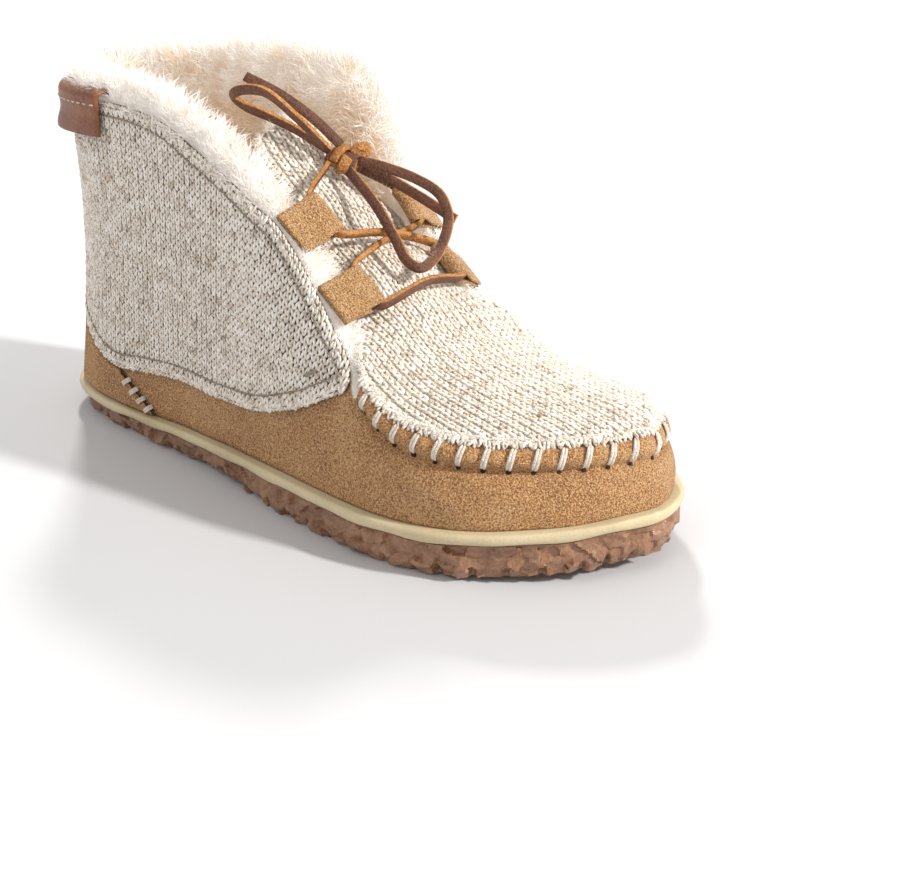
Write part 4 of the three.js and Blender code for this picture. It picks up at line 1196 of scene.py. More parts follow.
class Panel:
    """A piece lying on one side's wall between two lines, with eased edges and sunk stitch lines."""

    def __init__(self, side, front, low, high, thick, ease, sink=(), front_round=0.0):
        self.side = side
        self.thick = thick
        self.ease = ease
        self.sink = sink
        reach = np.linspace(0, PANEL_LONGEST, 1041)
        x = girth_x(turn_at(side, reach))
        self.length = float(np.interp(front, x, reach))
        self.reach = np.linspace(0, self.length, 500)
        self.x = np.interp(self.reach, reach, x)
        low, high = low(self.x), np.maximum(high(self.x), low(self.x) + 0.05)
        if front_round:
            nose = np.clip((self.reach - self.length + front_round) / front_round, 0, 1)
            share = np.sqrt(1 - 0.98 * nose ** 2)
            low, high = (low + high - (high - low) * share) / 2, (low + high + (high - low) * share) / 2
        self.low = low
        self.high = high

    def bounds(self, distance):
        return np.interp(distance, self.reach, self.low), np.interp(distance, self.reach, self.high)

    def edge_distance(self, distance, height):
        """Distance to the lower and to the upper line, on the surface."""
        result = []
        for line in (self.low, self.high):
            gap = np.hypot(distance[..., None] - self.reach[::2], height[..., None] - line[::2])
            result.append(gap.min(-1))
        return result

    def lift(self, distance, height):
        to_low, to_high = self.edge_distance(distance, height)
        lift = self.thick * eased(np.minimum(to_low, to_high), self.ease)
        for which, at, deep in self.sink:
            gap = to_low if which == "low" else to_high
            lift = lift - deep * np.exp(-((gap - at) / SINK_HALF) ** 2)
        return lift

    def point(self, distance, height, extra=0.0):
        distance, height = np.broadcast_arrays(np.asarray(distance, float), np.asarray(height, float))
        out = OVERLAY_SET + self.lift(distance, height) + extra
        return wall_point(turn_at(self.side, distance), height, out)[0]

    def axes(self, distance, height, extra=0.0):
        """Point, direction round the boot, direction up and outward normal."""
        at = self.point(distance, height, extra)
        ahead = unit(self.point(distance + 0.5, height, extra) - self.point(distance - 0.5, height, extra))
        up = unit(self.point(distance, height + 0.5, extra) - self.point(distance, height - 0.5, extra))
        out = np.cross(ahead, up) if self.side == "lateral" else np.cross(up, ahead)
        return at, ahead, up, unit(out)

    def mesh(self, columns, rows):
        """Points and faces of the panel as a thick sheet."""
        distance = np.linspace(0, self.length, columns)
        low, high = self.bounds(distance)
        share = 0.5 - 0.5 * np.cos(np.linspace(0, np.pi, rows))
        share = (0.55 * share + 0.45 * np.linspace(0, 1, rows))[:, None]
        height = low + (high - low) * share
        grid = np.broadcast_to(distance, height.shape)
        outer = self.point(grid, height)
        inner = wall_point(turn_at(self.side, grid), height, OVERLAY_SET)[0]
        if self.side == "medial":
            outer, inner = outer[:, ::-1], inner[:, ::-1]
        return slab(outer, inner)

    def line(self, which, inset, spacing, start=2.0, margin=1.5):
        """Distances and heights of marks along a line at an inset from the panel's edge."""
        line = self.low if which == "low" else self.high
        way = unit(np.stack([np.gradient(self.reach), np.gradient(line)], -1))
        normal = np.stack([-way[:, 1], way[:, 0]], -1) * (1 if which == "low" else -1)
        moved = np.stack([self.reach, line], -1) + normal * inset
        run = run_along(moved)
        marks = np.arange(start, run[-1] - start, spacing)
        distance = np.interp(marks, run, moved[:, 0])
        height = np.interp(marks, run, moved[:, 1])
        slope = np.interp(marks, run, np.arctan2(way[:, 1], way[:, 0]))
        low, high = self.bounds(distance)
        keep = (height > low + margin) & (height < high - margin) & (distance < self.length - margin)
        return distance[keep], height[keep], slope[keep]


def hem(x):
    return line_height("hem", x)


# The quarters: insets of their stitch lines, eased edge and rounded front.
COLLAR_SEW = 4.4
HEM_SEW = 5.6
QUARTER_EASE = 1.6
QUARTER_NOSE = 3.0
QUARTER_SINK = (("high", COLLAR_SEW, 0.2), ("low", HEM_SEW, 0.25))
QUARTERS = {
    side: Panel(side, PANEL_FRONT, hem, lambda x, s=side: line_height(s, x), KNIT_BACKING, QUARTER_EASE,
                QUARTER_SINK, QUARTER_NOSE)
    for side in SIDES
}


# Small shapes that are repeated.
def spindle(stations, sides, bend=0.0, aside=0.0):
    """A small spindle along Y; stations are (position, half width, half height), bend lifts its middle."""
    stations = np.array(stations, float)
    angles = np.arange(sides) * 2 * np.pi / sides
    points, faces = [], []
    length = stations[-1, 0] - stations[0, 0]
    for place, wide, high in stations[1:-1]:
        lift = bend * math.sin(math.pi * (place - stations[0, 0]) / length)
        points.extend([(aside + wide * math.cos(a), place, lift + high * math.sin(a)) for a in angles])
    rings = len(stations) - 2
    numbers = np.arange(rings * sides).reshape(rings, sides)
    faces.extend([list(f)[::-1] for f in grid_faces(numbers, closed=True)])
    first, last = len(points), len(points) + 1
    points.extend([(aside, stations[0, 0], 0), (aside, stations[-1, 0], 0)])
    for i in range(sides):
        j = (i + 1) % sides
        faces.append([first, numbers[0][i], numbers[0][j]])
        faces.append([last, numbers[-1][j], numbers[-1][i]])
    return points, faces


def small_shape(name, *forms):
    return to_mesh(name, *joined(forms), tidy=False)


WHIP_LENGTH = 8.0
WHIP_STATIONS = [(-4, 0, 0), (-3.6, 0.42, 0.4), (-2.3, 0.53, 0.5), (0, 0.55, 0.52), (2.3, 0.53, 0.5),
                 (3.6, 0.42, 0.4), (4, 0, 0)]
LOOP_LOBE = small_shape("loop_lobe", spindle(
    [(-1.8, 0, 0), (-1.1, 0.42, 0.48), (0.1, 0.5, 0.62), (1.15, 0.38, 0.44), (1.8, 0, 0)], 5, 0.22))
SEW_STITCH = small_shape("sew_stitch", spindle(
    [(-1.35, 0, 0), (-1.0, 0.28, 0.28), (0, 0.34, 0.32), (1.0, 0.28, 0.28), (1.35, 0, 0)], 6, 0.12))
WHIP_STITCH = small_shape("whip_stitch", *(spindle(WHIP_STATIONS, 8, 1.6, aside) for aside in (-0.45, 0.45)))
# Flat mark for painted shade in holes and along edges.
SHADE_MARK_SHAPE = small_shape("needle_hole", spindle(
    [(-1.1, 0, 0), (-0.8, 0.6, 0.16), (0, 0.85, 0.2), (0.8, 0.6, 0.16), (1.1, 0, 0)], 8))
SMALL_SHAPES = [LOOP_LOBE, SEW_STITCH, WHIP_STITCH, SHADE_MARK_SHAPE]

# The knit: width and height of a loop; lean, dip and place aside of its two lobes.
WALE = 3.05
COURSE = 2.4
LOBE_TILT = 0.31
LOBE_DIP = 0.28
LOBE_ASIDE = 0.222
# Loops along an edge: their slant and pitch.
EDGE_TURN = 0.45
EDGE_PITCH = 1.9
# Middle tone of a yarn and how much it strays; share of stray loops at each end, and their tone.
# The quarters' yarn is set lighter than the tongue's: painted light on the quarters, which lie in shade.
QUARTER_YARN_PAINTED_LIGHTER = (0.83, 0.1)
TONGUE_YARN = (0.68, 0.05)
EDGE_YARN = (0.66, 0.09)
STRAY_SHARE = 0.05
STRAY_TONE = 0.15


def yarn_tones(wale, course, tone, heather):
    """Tone of each loop: slow runs along the course, with stray light and dark loops."""
    drift = np.sin(course * 1.7 + 0.6 * np.sin(course * 0.9)) * np.sin(wale * 0.55 + course * 0.31)
    tones = tone + 0.05 * drift + chance.normal(0, heather, len(wale))
    stray = chance.uniform(0, 1, len(wale))
    return tones - STRAY_TONE * (stray < STRAY_SHARE) + STRAY_TONE * (stray > 1 - STRAY_SHARE)


def knit_lobes(at, ahead, up, out, wale, course, yarn):
    """Places, directions, facings and tones of two leaning lobes for every loop of the knit."""
    tones = yarn_tones(wale, course, *yarn)
    rows = []
    for lean in (-1, 1):
        along = unit(up * math.cos(LOBE_TILT) + ahead * lean * math.sin(LOBE_TILT) - out * LOBE_DIP)
        rows.append((at + ahead * (lean * WALE * LOBE_ASIDE), along, out, tones))
    return [np.concatenate(v) for v in zip(*rows)]


def edge_lobes(at, way, inwards, out, turn=EDGE_TURN):
    """One slanting lobe at each mark along a knitted edge."""
    turn = np.broadcast_to(turn, len(at))[:, None]
    along = unit(way * np.cos(turn) + inwards * np.sin(turn))
    tone, heather = EDGE_YARN
    return at, along, out, tone + chance.normal(0, heather, len(at))


def knitted(name, *rows, plump=1.0):
    """One piece of knit from rows of lobes, each a little out of place."""
    at, along, out, tones = (np.concatenate(v) for v in zip(*rows))
    tones = np.clip(tones + chance.normal(0, 0.05, len(at)), 0.03, 1)
    loops = set_on_points(name, LOOP_LOBE, YARN, at + chance.normal(0, 0.07, at.shape), along, out,
                          chance.uniform(0.95, 1.06, (len(at), 1)) * (plump, 1, 1), {"tone": tones})
    finish_piece(loops, "oatmeal_knit")


# A quarter's knit: its courses and foot, rows along its edges (inset, lift), pitch of its sewing.
QUARTER_COURSES = 48
QUARTER_FOOT = 22
QUARTER_EDGE_ROWS = ((0.7, 0.0), (2.1, 0.1))
SEW_PITCH = 2.9
# Bar tack at the front of each quarter: distance from the back seam, height, size of its stitches.
TACK_AT = (172.8, 53.2)
TACK_SIZE = (1.5, 0.7, 1.3)


def quarter_lobes(panel):
    """Loops over a quarter and along its collar and hem."""
    wales = np.arange(0, int(panel.length / WALE) + 1)
    wale, course = (v.ravel() for v in np.meshgrid(wales, np.arange(QUARTER_COURSES)))
    distance = wale * WALE + 0.5 * WALE
    height = QUARTER_FOOT + course * COURSE
    low, high = panel.bounds(distance)
    inside = (height > low) & (height < high) & (distance < panel.length - 1)
    keep = inside & (np.minimum(*panel.edge_distance(distance, height)) > 1.0)
    axes = panel.axes(distance[keep], height[keep], 0.3)
    lobes = [knit_lobes(*axes, wale[keep], course[keep], QUARTER_YARN_PAINTED_LIGHTER)]
    for which, inwards in (("high", -1), ("low", 1)):
        for inset, lift in QUARTER_EDGE_ROWS:
            distance, height, slope = panel.line(which, inset, EDGE_PITCH, 0.5, 0.1)
            at, ahead, up, out = panel.axes(distance, height, lift)
            rise, level = np.sin(slope)[:, None], np.cos(slope)[:, None]
            inner_way = (up * level - ahead * rise) * inwards
            lobes.append(edge_lobes(at, ahead * level + up * rise, inner_way, out))
    return lobes


def quarter_sewing(panel):
    """Places, ways, facings and sizes of the stitches along collar and hem and of the bar tack."""
    rows = []
    for which, inset in (("high", COLLAR_SEW), ("low", HEM_SEW)):
        distance, height, slope = panel.line(which, inset, SEW_PITCH)
        at, ahead, up, out = panel.axes(distance, height, 1.0)
        rows.append((at, unit(ahead * np.cos(slope)[:, None] + up * np.sin(slope)[:, None]), out))
    bar = np.linspace(-1, 1, 5)
    at, ahead, up, out = panel.axes(TACK_AT[0] + 1.7 * bar, TACK_AT[1] + 0.75 * bar, 1.2)
    rows.append((at, unit(0.4 * ahead + up), out))
    at, way, out = (np.concatenate(v) for v in zip(*rows))
    size = np.ones((len(at), 3))
    size[-len(bar):] = TACK_SIZE
    return at, way, out, size


def quarter(side):
    panel = QUARTERS[side]
    points, faces = panel.mesh(150, 34)
    # Its dark colour shows between the loops as painted shade.
    cloth = to_mesh(f"quarter_{side}_cloth", points, faces, [KNIT_SHADE])
    finish_piece(cloth, "oatmeal_knit", f"quarter_{side}")
    knitted(f"quarter_{side}_loops", *quarter_lobes(panel))
    threads = set_on_points(f"quarter_{side}_sewing", SEW_STITCH, THREAD_DARK, *quarter_sewing(panel))
    finish_piece(threads, "oatmeal_knit")


for boot_side in SIDES:
    quarter(boot_side)


# Heel counter: gap under the hem, eased edge; distances from the back seam of the stitches and of the painted
# shade along its upper edge.
COUNTER_UNDER_HEM = 0.6
COUNTER_EASE = 1.1
COUNTER_STITCHES = np.array([58.5, 63.0, 67.2, 71.4])
COUNTER_EDGE_SHADE = np.arange(55.0, 77.0, 1.3)


def counter_top(x):
    """Upper line of the counter: under the hem, then slanting down to its front."""
    start, end = COUNTER_FRONT
    slant = COUNTER_FRONT_TOP + (x - start) * (COUNTER_FRONT_FOOT - COUNTER_FRONT_TOP) / (end - start)
    under = hem(x) - COUNTER_UNDER_HEM
    return np.where(x < start, under, np.minimum(under, slant))


def counter_foot(x):
    return sole_top(x) + GAP + 0.2


def counter_marks(panel, distance, rise, lift):
    """Points and directions along the counter's upper line."""
    return panel.axes(distance, np.interp(distance, panel.reach, panel.high) + rise, lift)


def heel_counter():
    parts, stitches, seam = [], [], []
    for side in SIDES:
        panel = Panel(side, COUNTER_FRONT[1] - 0.5, counter_foot, counter_top, SUEDE, COUNTER_EASE)
        parts.append(panel.mesh(90, 22))
        at, ahead, up, out = counter_marks(panel, COUNTER_STITCHES, -0.3, 0.1)
        stitches.append((at, unit(ahead * 0.72 + up * 0.7), out))
        # Dark marks along the counter's upper edge: painted shade of that edge.
        at, _, _, out = counter_marks(panel, COUNTER_EDGE_SHADE, 0.2, 0.05)
        seam.append((at, unit(np.gradient(at, axis=0)), out))
    points, faces = joined(parts)
    counter = to_mesh("heel_counter_suede", points, faces, [SUEDE_TAN])
    finish_piece(counter, "tan_suede", "heel_counter")
    for name, shape, finish, rows, size in (
        ("heel_counter_sewing", WHIP_STITCH, THREAD_PALE, stitches, (0.95, 0.5, 0.5)),
        ("heel_counter_gap", SHADE_MARK_SHAPE, SHADE_MARK_FINISH, seam, (0.45, 1.0, 1.6)),
    ):
        at, way, out = (np.concatenate(v) for v in zip(*rows))
        piece = set_on_points(name, shape, finish, at, way, out, np.tile(size, (len(at), 1)))
        finish_piece(piece, "tan_suede")


heel_counter()


# Knitted toe plug and tongue in one piece.
# Stations up the tongue: place along, height, lateral edge, medial edge, sag of the edges.
ALONG, UP, LATERAL_EDGE, MEDIAL_EDGE, SAG = range(5)
TONGUE_ROWS = np.array([
    [46, 63, -23, 21, 3], [42, 66, -25, 23, 5.2], [33, 72.8, -27, 25, 6.6], [17, 85.2, -25.5, 22.5, 7],
    [0, 99.5, -21.5, 18.5, 7], [-12, 110.5, -19.5, 16, 6], [-19.5, 117.2, -16, 12.5, 4.4],
    [-21.6, 119, -9.5, 6.5, 3],
])
# Soft folds of the tongue: place along, slant, half width, height.
TONGUE_FOLDS = ((4, 0.25, 4.5, 1.1), (15, 0.1, 5, -1.0), (-8, 0.4, 4, -0.9), (27, -0.1, 5, 0.8))
# The roof that the plug lies on: its grid, and the height taken where nothing is under a point.
ROOF_ROWS, ROOF_COLUMNS = 40, 400
ROOF_MISSED = 43.0
PLUG_EDGE_SHARE = 0.012
PLUG_END = 47
PLUG_THICK = 2.2
PLUG_EASE = 2.6


class KnitSheet:
    """The plug over the toe running on as the tongue: stations from the toe's tip to the tongue's top."""

    def __init__(self):
        turns = np.linspace(8, LOOP - 8, ROOF_COLUMNS)
        overs = np.linspace(0, 1, ROOF_ROWS)[:, None]
        roof = form_point(np.broadcast_to(turns, (ROOF_ROWS, ROOF_COLUMNS)), 1.0, overs)
        numbers = np.arange(ROOF_ROWS * ROOF_COLUMNS).reshape(ROOF_ROWS, ROOF_COLUMNS)
        self.roof = BVHTree.FromPolygons(roof.reshape(-1, 3).tolist(), grid_faces(numbers).tolist())
        rim = form_point(turns, 1.0, PLUG_EDGE_SHARE)
        lateral = turns <= LAST_STEP
        self.rim_lateral = rim[lateral]
        self.rim_medial = rim[~lateral][::-1]
        tip = float(rim[:, 0].max())
        toe_x = tip - (tip - PLUG_END) * (1 - np.cos(np.linspace(0, np.pi / 2, 40)))
        rows = []
        for x in toe_x[1:]:
            left, right = self.rim_at(x)
            height = self.roof_height(x, (left + right) / 2) + OVERLAY_SET + PLUG_THICK
            rows.append((x, height, left, right, 0.0))
        order = np.linspace(0, len(TONGUE_ROWS) - 1, 60)
        tongue = np.stack([spline(TONGUE_ROWS[:, k], order)[0] for k in range(5)], -1)
        for row in tongue[tongue[:, ALONG] < TONGUE_ROWS[0, ALONG]]:
            share = float(smooth(36, PLUG_END, row[ALONG]))
            row[2:4] += share * (np.array(self.rim_at(row[ALONG])) - row[2:4])
            rows.append(tuple(row))
        rows = np.array(rows)
        self.run = run_along(rows[:, :2])
        self.rows = rows
        self.length = self.run[-1]
        slope = np.gradient(rows[:, :2], axis=0)
        self.tilt = unit(np.stack([slope[:, 1], -slope[:, 0]], -1))

    def rim_at(self, x):
        """Places across of the plug's lateral and medial edges."""
        return (np.interp(x, self.rim_lateral[:, 0], self.rim_lateral[:, 1]),
                np.interp(x, self.rim_medial[:, 0], self.rim_medial[:, 1]))

    def roof_height(self, x, y):
        hit = self.roof.ray_cast(Vector((float(x), float(y), 200.0)), Vector((0, 0, -1)))[0]
        return hit.z if hit else ROOF_MISSED

    def column(self, k, run):
        return np.interp(run, self.run, self.rows[:, k])

    def point(self, run, y, lift=0.0):
        """Point of the outer face at a run from the toe's tip and a distance across."""
        run, y, lift = np.broadcast_arrays(*(np.asarray(v, float) for v in (run, y, lift)))
        x, z, left, right, sag = (self.column(k, run) for k in (ALONG, UP, LATERAL_EDGE, MEDIAL_EDGE, SAG))
        tilt = np.stack([np.interp(run, self.run, self.tilt[:, k]) for k in (0, 1)], -1)
        across = (y - (left + right) / 2) / np.maximum((right - left) / 2, 1)
        on_tongue = smooth(50, 36, x)
        roof = np.array([self.roof_height(a, b) for a, b in zip(np.ravel(x), np.ravel(y))]).reshape(x.shape)
        edge = np.clip((1 - np.abs(across)) * (right - left) / 2, 0, None)
        tip_gap = np.clip(run, 0, None)
        round_edge = eased(np.minimum(edge, tip_gap), PLUG_EASE)
        plug_z = roof + OVERLAY_SET + PLUG_THICK / 2 + PLUG_THICK / 2 * round_edge
        drop = -sag * across ** 2 + self.folds(x, y)
        tongue_x = x + tilt[..., 0] * drop
        tongue_z = z + tilt[..., 1] * drop
        base = np.stack([
            x + (tongue_x - x) * on_tongue, y, plug_z + (tongue_z - plug_z) * on_tongue,
        ], -1)
        normal = np.stack([tilt[..., 0], np.zeros_like(x), tilt[..., 1]], -1)
        return base + normal * lift[..., None]

    @staticmethod
    def folds(x, y):
        """Soft folds across the tongue where the lace draws it in."""
        height = np.zeros(np.shape(x))
        for middle, slant, wide, high in TONGUE_FOLDS:
            height = height + high * np.exp(-((x - middle - slant * y) / wide) ** 2)
        return height

    def axes(self, run, y, lift=0.0):
        at = self.point(run, y, lift)
        back = unit(self.point(run + 0.5, y, lift) - self.point(run - 0.5, y, lift))
        side = unit(self.point(run, y + 0.5, lift) - self.point(run, y - 0.5, lift))
        out = unit(np.cross(back, side))
        return at, side, back, np.where(out[..., 2:] > 0, out, -out)


# Depths under the sheet's outer face of its cloth, the cloth's back and the loops' middles.
CLOTH_FACE, CLOTH_BACK, LOOPS_AT = -0.5, -2.4, -0.45
TONGUE_PLUMP = 1.45


def sheet_cloth(sheet):
    runs = sheet.length * np.linspace(0.004, 1, 120)
    left, right = sheet.column(LATERAL_EDGE, runs), sheet.column(MEDIAL_EDGE, runs)
    y = left[:, None] + (right - left)[:, None] * np.linspace(0, 1, 35)
    grid = np.broadcast_to(runs[:, None], y.shape)
    points, faces = slab(sheet.point(grid, y, CLOTH_FACE)[:, ::-1], sheet.point(grid, y, CLOTH_BACK)[:, ::-1])
    # Its paler colour shows between the loops as painted shade.
    cloth = to_mesh("tongue_cloth", points, faces, [TONGUE_SHADE])
    finish_piece(cloth, "oatmeal_knit", "tongue")


def sheet_lobes(sheet):
    """Loops over the plug and tongue and along their edges."""
    courses = np.arange(0, int(sheet.length / COURSE))
    wale, course = (v.ravel() for v in np.meshgrid(np.arange(-17, 18), courses))
    run = 1.6 + course * COURSE
    y = -0.5 + wale * WALE
    margin = 1.2 * smooth(48, 40, sheet.column(ALONG, run)) - 0.3
    keep = (y > sheet.column(LATERAL_EDGE, run) + margin) & (y < sheet.column(MEDIAL_EDGE, run) - margin)
    lobes = [knit_lobes(*sheet.axes(run[keep], y[keep], LOOPS_AT), wale[keep], course[keep], TONGUE_YARN)]
    fine = np.linspace(0.6, sheet.length - 0.4, 900)
    for k, way in ((LATERAL_EDGE, 1), (MEDIAL_EDGE, -1)):
        y = sheet.column(k, fine) + way * 0.7
        length = run_along(np.stack([fine, y], -1))
        marks = np.arange(0.5, length[-1], EDGE_PITCH)
        at, side, _, out = sheet.axes(np.interp(marks, length, fine), np.interp(marks, length, y), LOOPS_AT)
        lobes.append(edge_lobes(at, unit(np.gradient(at, axis=0)), side * way, out))
    return lobes


def knit_sheet():
    sheet = KnitSheet()
    sheet_cloth(sheet)
    knitted("tongue_loops", *sheet_lobes(sheet), plump=TONGUE_PLUMP)
    return sheet


SHEET = knit_sheet()


# Toe seam: how far each stitch leans on, and its foot and head (rise from the shoulder line, distance out).
WHIP_LEAN = 1.8
WHIP_FOOT, WHIP_HEAD = (-5.9, -0.6), (0.0, 2.1)
HOLE_OUT = -1.8
SEAM_MARKS = np.arange(SEAM_START, SEAM_LENGTH[-1] - 4, SEAM_PITCH)
# Rows of loops over the plug's edge: facing up, facing outwards, distance from the shoulder line.
PLUG_EDGE_ROWS = ((0.9, -0.45, 1.6), (0.92, 0.38, 1.75), (0.62, 0.78, 1.6))
PLUG_EDGE_PITCH = 1.35
PLUG_EDGE_PLUMP = 1.2


def by_shoulder(marks, rise=0.0, out=0.0):
    """Points and outward normals at distances along the toe seam, at a rise from the shoulder line."""
    turns = np.interp(marks, SEAM_LENGTH, SEAM_TURNS)
    return wall_point(turns, last_value(turns, "shoulder") + rise, out)


def whip_stitches():
    """Doubled stitches from the plug's edge over the rolled seam."""
    foot, normal = by_shoulder(SEAM_MARKS, *WHIP_FOOT)
    head, _ = by_shoulder(SEAM_MARKS + WHIP_LEAN, *WHIP_HEAD)
    way = unit(head - foot)
    out = unit(np.cross(unit(np.cross(way, normal)), way))
    size = np.linalg.norm(head - foot, axis=1) / WHIP_LENGTH
    scale = np.stack([np.ones_like(size), size, np.ones_like(size)], -1)
    middle = (foot + head) / 2
    stitches = set_on_points("moc_seam_stitches", WHIP_STITCH, THREAD_PALE, middle, way, out, scale)
    finish_piece(stitches, "tan_suede")


def plug_edge_loops():
    """Uneven loops that bulge over the plug's edge at the seam."""
    marks = np.arange(0.5, SEAM_LENGTH[-1] - 0.5, PLUG_EDGE_PITCH)
    shoulder_line, outwards = by_shoulder(marks)
    lean = np.where(np.arange(len(marks)) % 2, 1, -1) * LOBE_TILT
    rows = []
    for up, aside, off in PLUG_EDGE_ROWS:
        facing = unit(outwards * aside + np.array([0, 0, up]))
        at = shoulder_line + facing * off
        ahead = unit(np.gradient(at, axis=0))
        at = at + chance.normal(0, 0.16, at.shape)
        turn = math.pi / 2 + lean + chance.normal(0, 0.42, len(marks))
        rows.append(edge_lobes(at, ahead, np.cross(facing, ahead), facing, turn))
    knitted("tongue_edge_loops", *rows, plump=PLUG_EDGE_PLUMP)


def needle_holes():
    """A dark mark in the groove at the foot of each stitch: painted shade in its needle hole."""
    at, normal = by_shoulder(SEAM_MARKS, GROOVE_AT, HOLE_OUT)
    up = unit(np.cross(normal, unit(np.cross(np.array([0, 0, 1.0]), normal))))
    holes = set_on_points("moc_seam_holes", SHADE_MARK_SHAPE, SHADE_MARK_FINISH, at, up, normal, np.ones(len(at)))
    finish_piece(holes, "tan_suede")


whip_stitches()
plug_edge_loops()
needle_holes()


# Pull tab: rows of the last that it spans, half thickness, flare of its lower edge at both ends.
PULL_TAB_ROWS = (1.4, 3.85)
PULL_TAB_HALF = 0.95
PULL_TAB_FLARE = (2.8, 0.5)
PULL_TAB_COLUMNS = 33
PULL_TAB_STITCHES = 11
# Section of the pull tab: out from the wall, height over the collar.
PULL_TAB_SECTION = np.array([
    (4.2, -11.4), (4.3, -6), (4.4, 0), (3.9, 2.4), (2, 3.4), (-0.6, 3.2), (-2, 2), (-2.3, 0.4),
])


def pull_tab():
    """Leather strip folded over the lateral collar near the back, its lower edge standing off."""
    turns = np.linspace(*PULL_TAB_ROWS, PULL_TAB_COLUMNS)
    section = centred_path(np.insert(PULL_TAB_SECTION, 1, 0.0, axis=1), 6)[:, [0, 2]]
    way = unit(np.gradient(section, axis=0))
    aside = np.stack([way[:, 1], -way[:, 0]], -1)
    half = PULL_TAB_HALF * thinned_edge(np.linspace(-1, 1, PULL_TAB_COLUMNS), 0.93, 0.0055)
    collar = line_height("lateral", girth_x(turns))
    flare = np.linspace(*PULL_TAB_FLARE, PULL_TAB_COLUMNS) * smooth(-3, -11.4, section[:, 1])[:, None]

    def placed(offset):
        path = section[:, None] + aside[:, None] * offset[None, :, None]
        return wall_point(turns, collar + path[..., 1], path[..., 0] + flare)[0]

    points, faces = slab(placed(half), placed(-half))
    tab = to_mesh("pull_tab_leather", points, faces, [CHESTNUT])
    finish_piece(tab, "chestnut_leather", "pull_tab")


def pull_tab_sewing():
    """One row of stitches along the fold."""
    turns = np.linspace(PULL_TAB_ROWS[0] + 0.12, PULL_TAB_ROWS[1] - 0.12, PULL_TAB_STITCHES)
    at, out = wall_point(turns, line_height("lateral", girth_x(turns)) - 0.5, 5.4)
    way = unit(np.gradient(at, axis=0))
    sewing = set_on_points("pull_tab_sewing", SEW_STITCH, THREAD_PALE, at, way, out, np.full(len(at), 0.9))
    finish_piece(sewing, "chestnut_leather")


pull_tab()
pull_tab_sewing()


# Wool pile round the collar and down the throat.
# Across the pile: share inwards, share of the roll's height, share of the depth inside.
PILE_PROFILE = [
    (0.06, -0.6, 0), (0.14, 0.3, 0), (0.3, 0.85, 0), (0.5, 1.0, 0), (0.72, 0.75, 0),
    (0.92, 0.2, 0.03), (1.0, 0, 0.16), (1.0, 0, 0.4), (1.0, 0, 0.7), (0.97, 0, 1.0),
]
PILE_COLUMNS = 170
PILE_RIM_ROWS = 7
# How far the pile goes past the quarters' front, how far inside the wall, and the height of its lumps.
PILE_PAST = 3.8
PILE_THICK = 7
PILE_LUMP = 1.5
# The roll's height and the wool's length on each side, then what they change to down the throat.
PILE_ROLL = {"lateral": 4.0, "medial": 6.5}
PILE_LENGTH = {"lateral": 0.85, "medial": 1.05}
THROAT_ROLL = 1.2
PILE_DEEP, THROAT_DEEP = 38, 6
UNDER_TAB_LENGTH = 0.2
# Strands to a square metre on the rim and further in, then how they lie.
RIM_DENSITY, LINING_DENSITY = 1.8e6, 1.1e6
PILE_LIE = {"Lock size": 80.0, "Ruffle": 3.2, "Stray": 0.13}
# Short wool along the plug's edges and at the tongue's top: strands, shortest and longest.
EDGE_FUZZ, EDGE_FUZZ_SIZES = 1300, (0.14, 0.4)
TOP_FUZZ, TOP_FUZZ_SIZES = 380, (0.3, 0.7)


def strand_shape():
    """A tapering, bent strand of wool 10 mm tall, with the share of its height as a mark."""
    points, tips = [], []
    for height, wide, bend in ((0, 0.22, 0), (5.5, 0.15, 1.2)):
        for corner in range(3):
            turn = corner * 2 * math.pi / 3
            points.append((wide * math.cos(turn) + bend, wide * math.sin(turn), height))
            tips.append(height / 10)
    points.append((4.2, 0, 9.4))
    tips.append(1)
    faces = [list(f) for f in grid_faces(np.arange(6).reshape(2, 3), closed=True)]
    faces += [[3 + i, 3 + (i + 1) % 3, 6] for i in range(3)]
    return to_mesh("wool_strand", points, faces, marks={"tip": tips}, tidy=False)


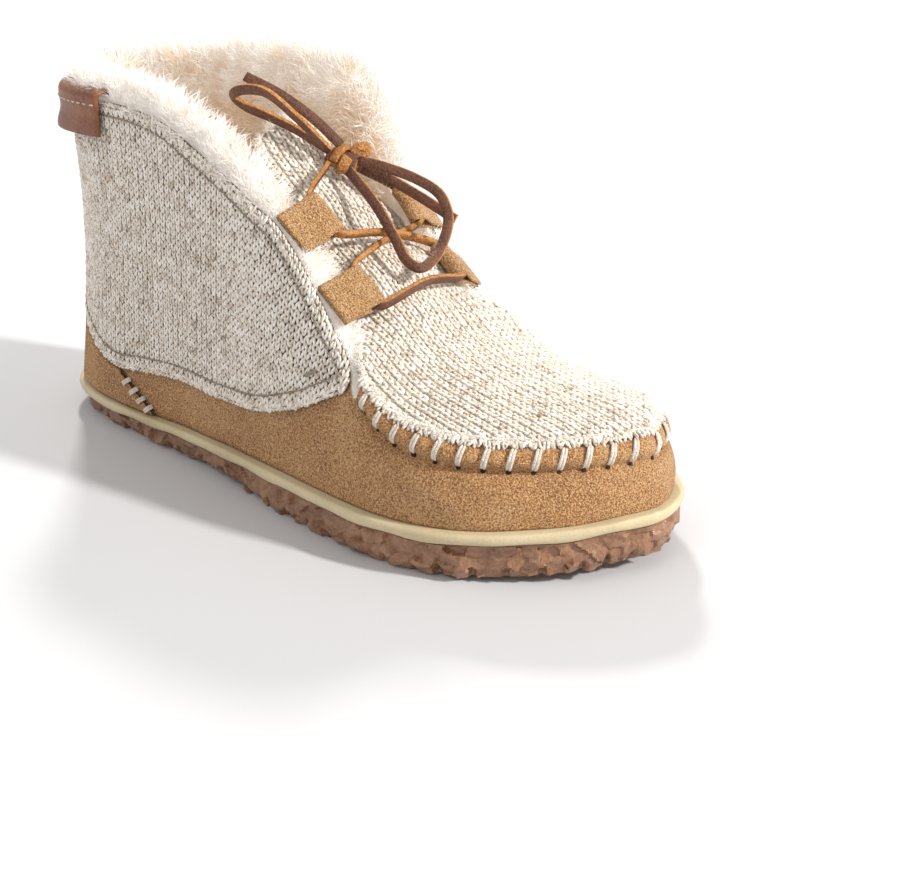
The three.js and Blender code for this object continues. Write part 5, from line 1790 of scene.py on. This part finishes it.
def pile_grid(side):
    """Points over the pile of one side and its marks, from the knit's edge over the roll and down inside."""
    panel = QUARTERS[side]
    run = run_along(np.stack([panel.reach, panel.high], -1))
    distance = np.interp(np.linspace(0, run[-1], PILE_COLUMNS), run, panel.reach)
    distance = distance * (panel.length + PILE_PAST) / panel.length
    turns = turn_at(side, distance)
    x = girth_x(turns)
    top = line_height(side, x)
    throat = smooth(-16, 8, x)
    roll = PILE_ROLL[side] * (1 - throat) + THROAT_ROLL * throat
    deep = PILE_DEEP * (1 - throat) + THROAT_DEEP * throat
    across = WALL + PILE_THICK + 0.8 * throat
    rows = []
    for inward, rise, fall in PILE_PROFILE:
        tuck = 2.0 * throat * (rise < 0)
        height = np.maximum(top + roll * rise - tuck - deep * fall, base_height(turns) + 4)
        rows.append(wall_point(turns, height, -inward * across)[0])
    grid = np.stack(rows)
    if side == "medial":
        grid, throat = grid[:, ::-1], throat[::-1]
    level = np.linspace(0, 1, len(rows))[:, None]
    normal = unit(np.cross(np.gradient(grid, axis=1), np.gradient(grid, axis=0)))
    column = np.arange(PILE_COLUMNS)
    lump = np.sin(column * 0.8 + 3 * level) * np.sin(column * 0.31 - 5 * level)
    grid = grid + normal * (PILE_LUMP * lump * smooth(0.1, 0.35, level))[..., None]
    flow = unit(np.gradient(grid, axis=0))
    first = smooth(0.35, 0.0, level)[..., None]
    stand = (0.55 * (1 - level) * (1 - 0.7 * throat))[..., None] * np.array([0, 0, 1.0])
    comb = unit(normal * (1 - 0.1 * first) + flow * 0.45 * first + stand)
    reach = PILE_LENGTH[side] * (1 - 0.3 * throat) * (0.72 + 0.28 * smooth(0, 0.3, level))
    crowd = 1 + 0.4 * throat + 0.8 * first[..., 0]
    for name in TABS:
        origin, along, wide, _ = tab_frame(name)
        gap = grid - origin
        under = (np.abs(gap @ wide) < TAB_WIDTH / 2 - 0.5) & (gap @ along > -4) & (gap @ along < TAB_REACH)
        reach[under] = UNDER_TAB_LENGTH
    depth = np.broadcast_to(level - 0.1, crowd.shape)
    return grid, {"comb": comb, "depth": depth, "reach": reach, "crowd": crowd}


def pile_surface(name, rows):
    """The pile's ground over some of its rows, both sides joined."""
    parts, marks = [], {}
    for side in SIDES:
        grid, values = pile_grid(side)
        grid = grid[rows]
        numbers = np.arange(grid.shape[0] * grid.shape[1]).reshape(grid.shape[:2])
        parts.append((grid.reshape(-1, 3), grid_faces(numbers)))
        for key, value in values.items():
            value = value[rows]
            marks.setdefault(key, []).append(value.reshape(-1, 3) if value.ndim == 3 else value.ravel())
    points, faces = joined(parts)
    marks = {key: np.concatenate(values) for key, values in marks.items()}
    return to_mesh(name, points, faces, [WOOL], marks, tidy=False)


def edge_fuzz(strand):
    """Short wool standing out along the plug's edges and the tongue's top."""
    at, lean = [], []
    for k, way in ((LATERAL_EDGE, -1.0), (MEDIAL_EDGE, 1.0)):
        run = chance.uniform(0, SHEET.length, EDGE_FUZZ)
        at.append(SHEET.point(run, SHEET.column(k, run) - way * 0.6, -0.4))
        lean.append(np.tile([0.1, way, 0.5], (len(run), 1)))
    y = chance.uniform(SHEET.rows[-1, LATERAL_EDGE], SHEET.rows[-1, MEDIAL_EDGE], TOP_FUZZ)
    at.append(SHEET.point(np.full(len(y), SHEET.length - 0.4), y, -1.6))
    lean.append(np.tile([-0.5, 0, 0.9], (len(y), 1)))
    at, lean = np.concatenate(at), np.concatenate(lean)
    lean = unit(lean + chance.normal(0, 0.4, lean.shape))
    size = [chance.uniform(*EDGE_FUZZ_SIZES, 2 * EDGE_FUZZ), chance.uniform(*TOP_FUZZ_SIZES, TOP_FUZZ)]
    size = np.concatenate(size)
    size = np.stack([0.3 + 0.4 * size, 0.3 + 0.4 * size, size], -1)
    side = unit(np.cross(lean, chance.normal(0, 1, lean.shape)))
    fuzz = set_on_points("tongue_fuzz", strand, WOOL, at, side, lean, size, {"depth": np.full(len(at), 0.1)})
    finish_piece(fuzz, "wool_pile")


def pile_collar():
    strand = strand_shape()
    ground = pile_surface("pile_collar_fleece", slice(None))
    rim = pile_surface("rim_ground", slice(None, PILE_RIM_ROWS))
    inner = pile_surface("inner_ground", slice(PILE_RIM_ROWS - 1, None))
    for name, surface, density, seed in (
        ("pile_collar_wool", rim, RIM_DENSITY, 11), ("pile_lining_wool", inner, LINING_DENSITY, 12),
    ):
        wool = grown(surface, PILE, name, Strand=strand, Finish=WOOL, Density=density, Seed=seed, **PILE_LIE)
        finish_piece(wool, "wool_pile")
    drop_marks(ground.data)
    finish_piece(ground, "wool_pile", "pile_collar")
    edge_fuzz(strand)
    dropped(strand, rim, inner)


pile_collar()
dropped(*SMALL_SHAPES)
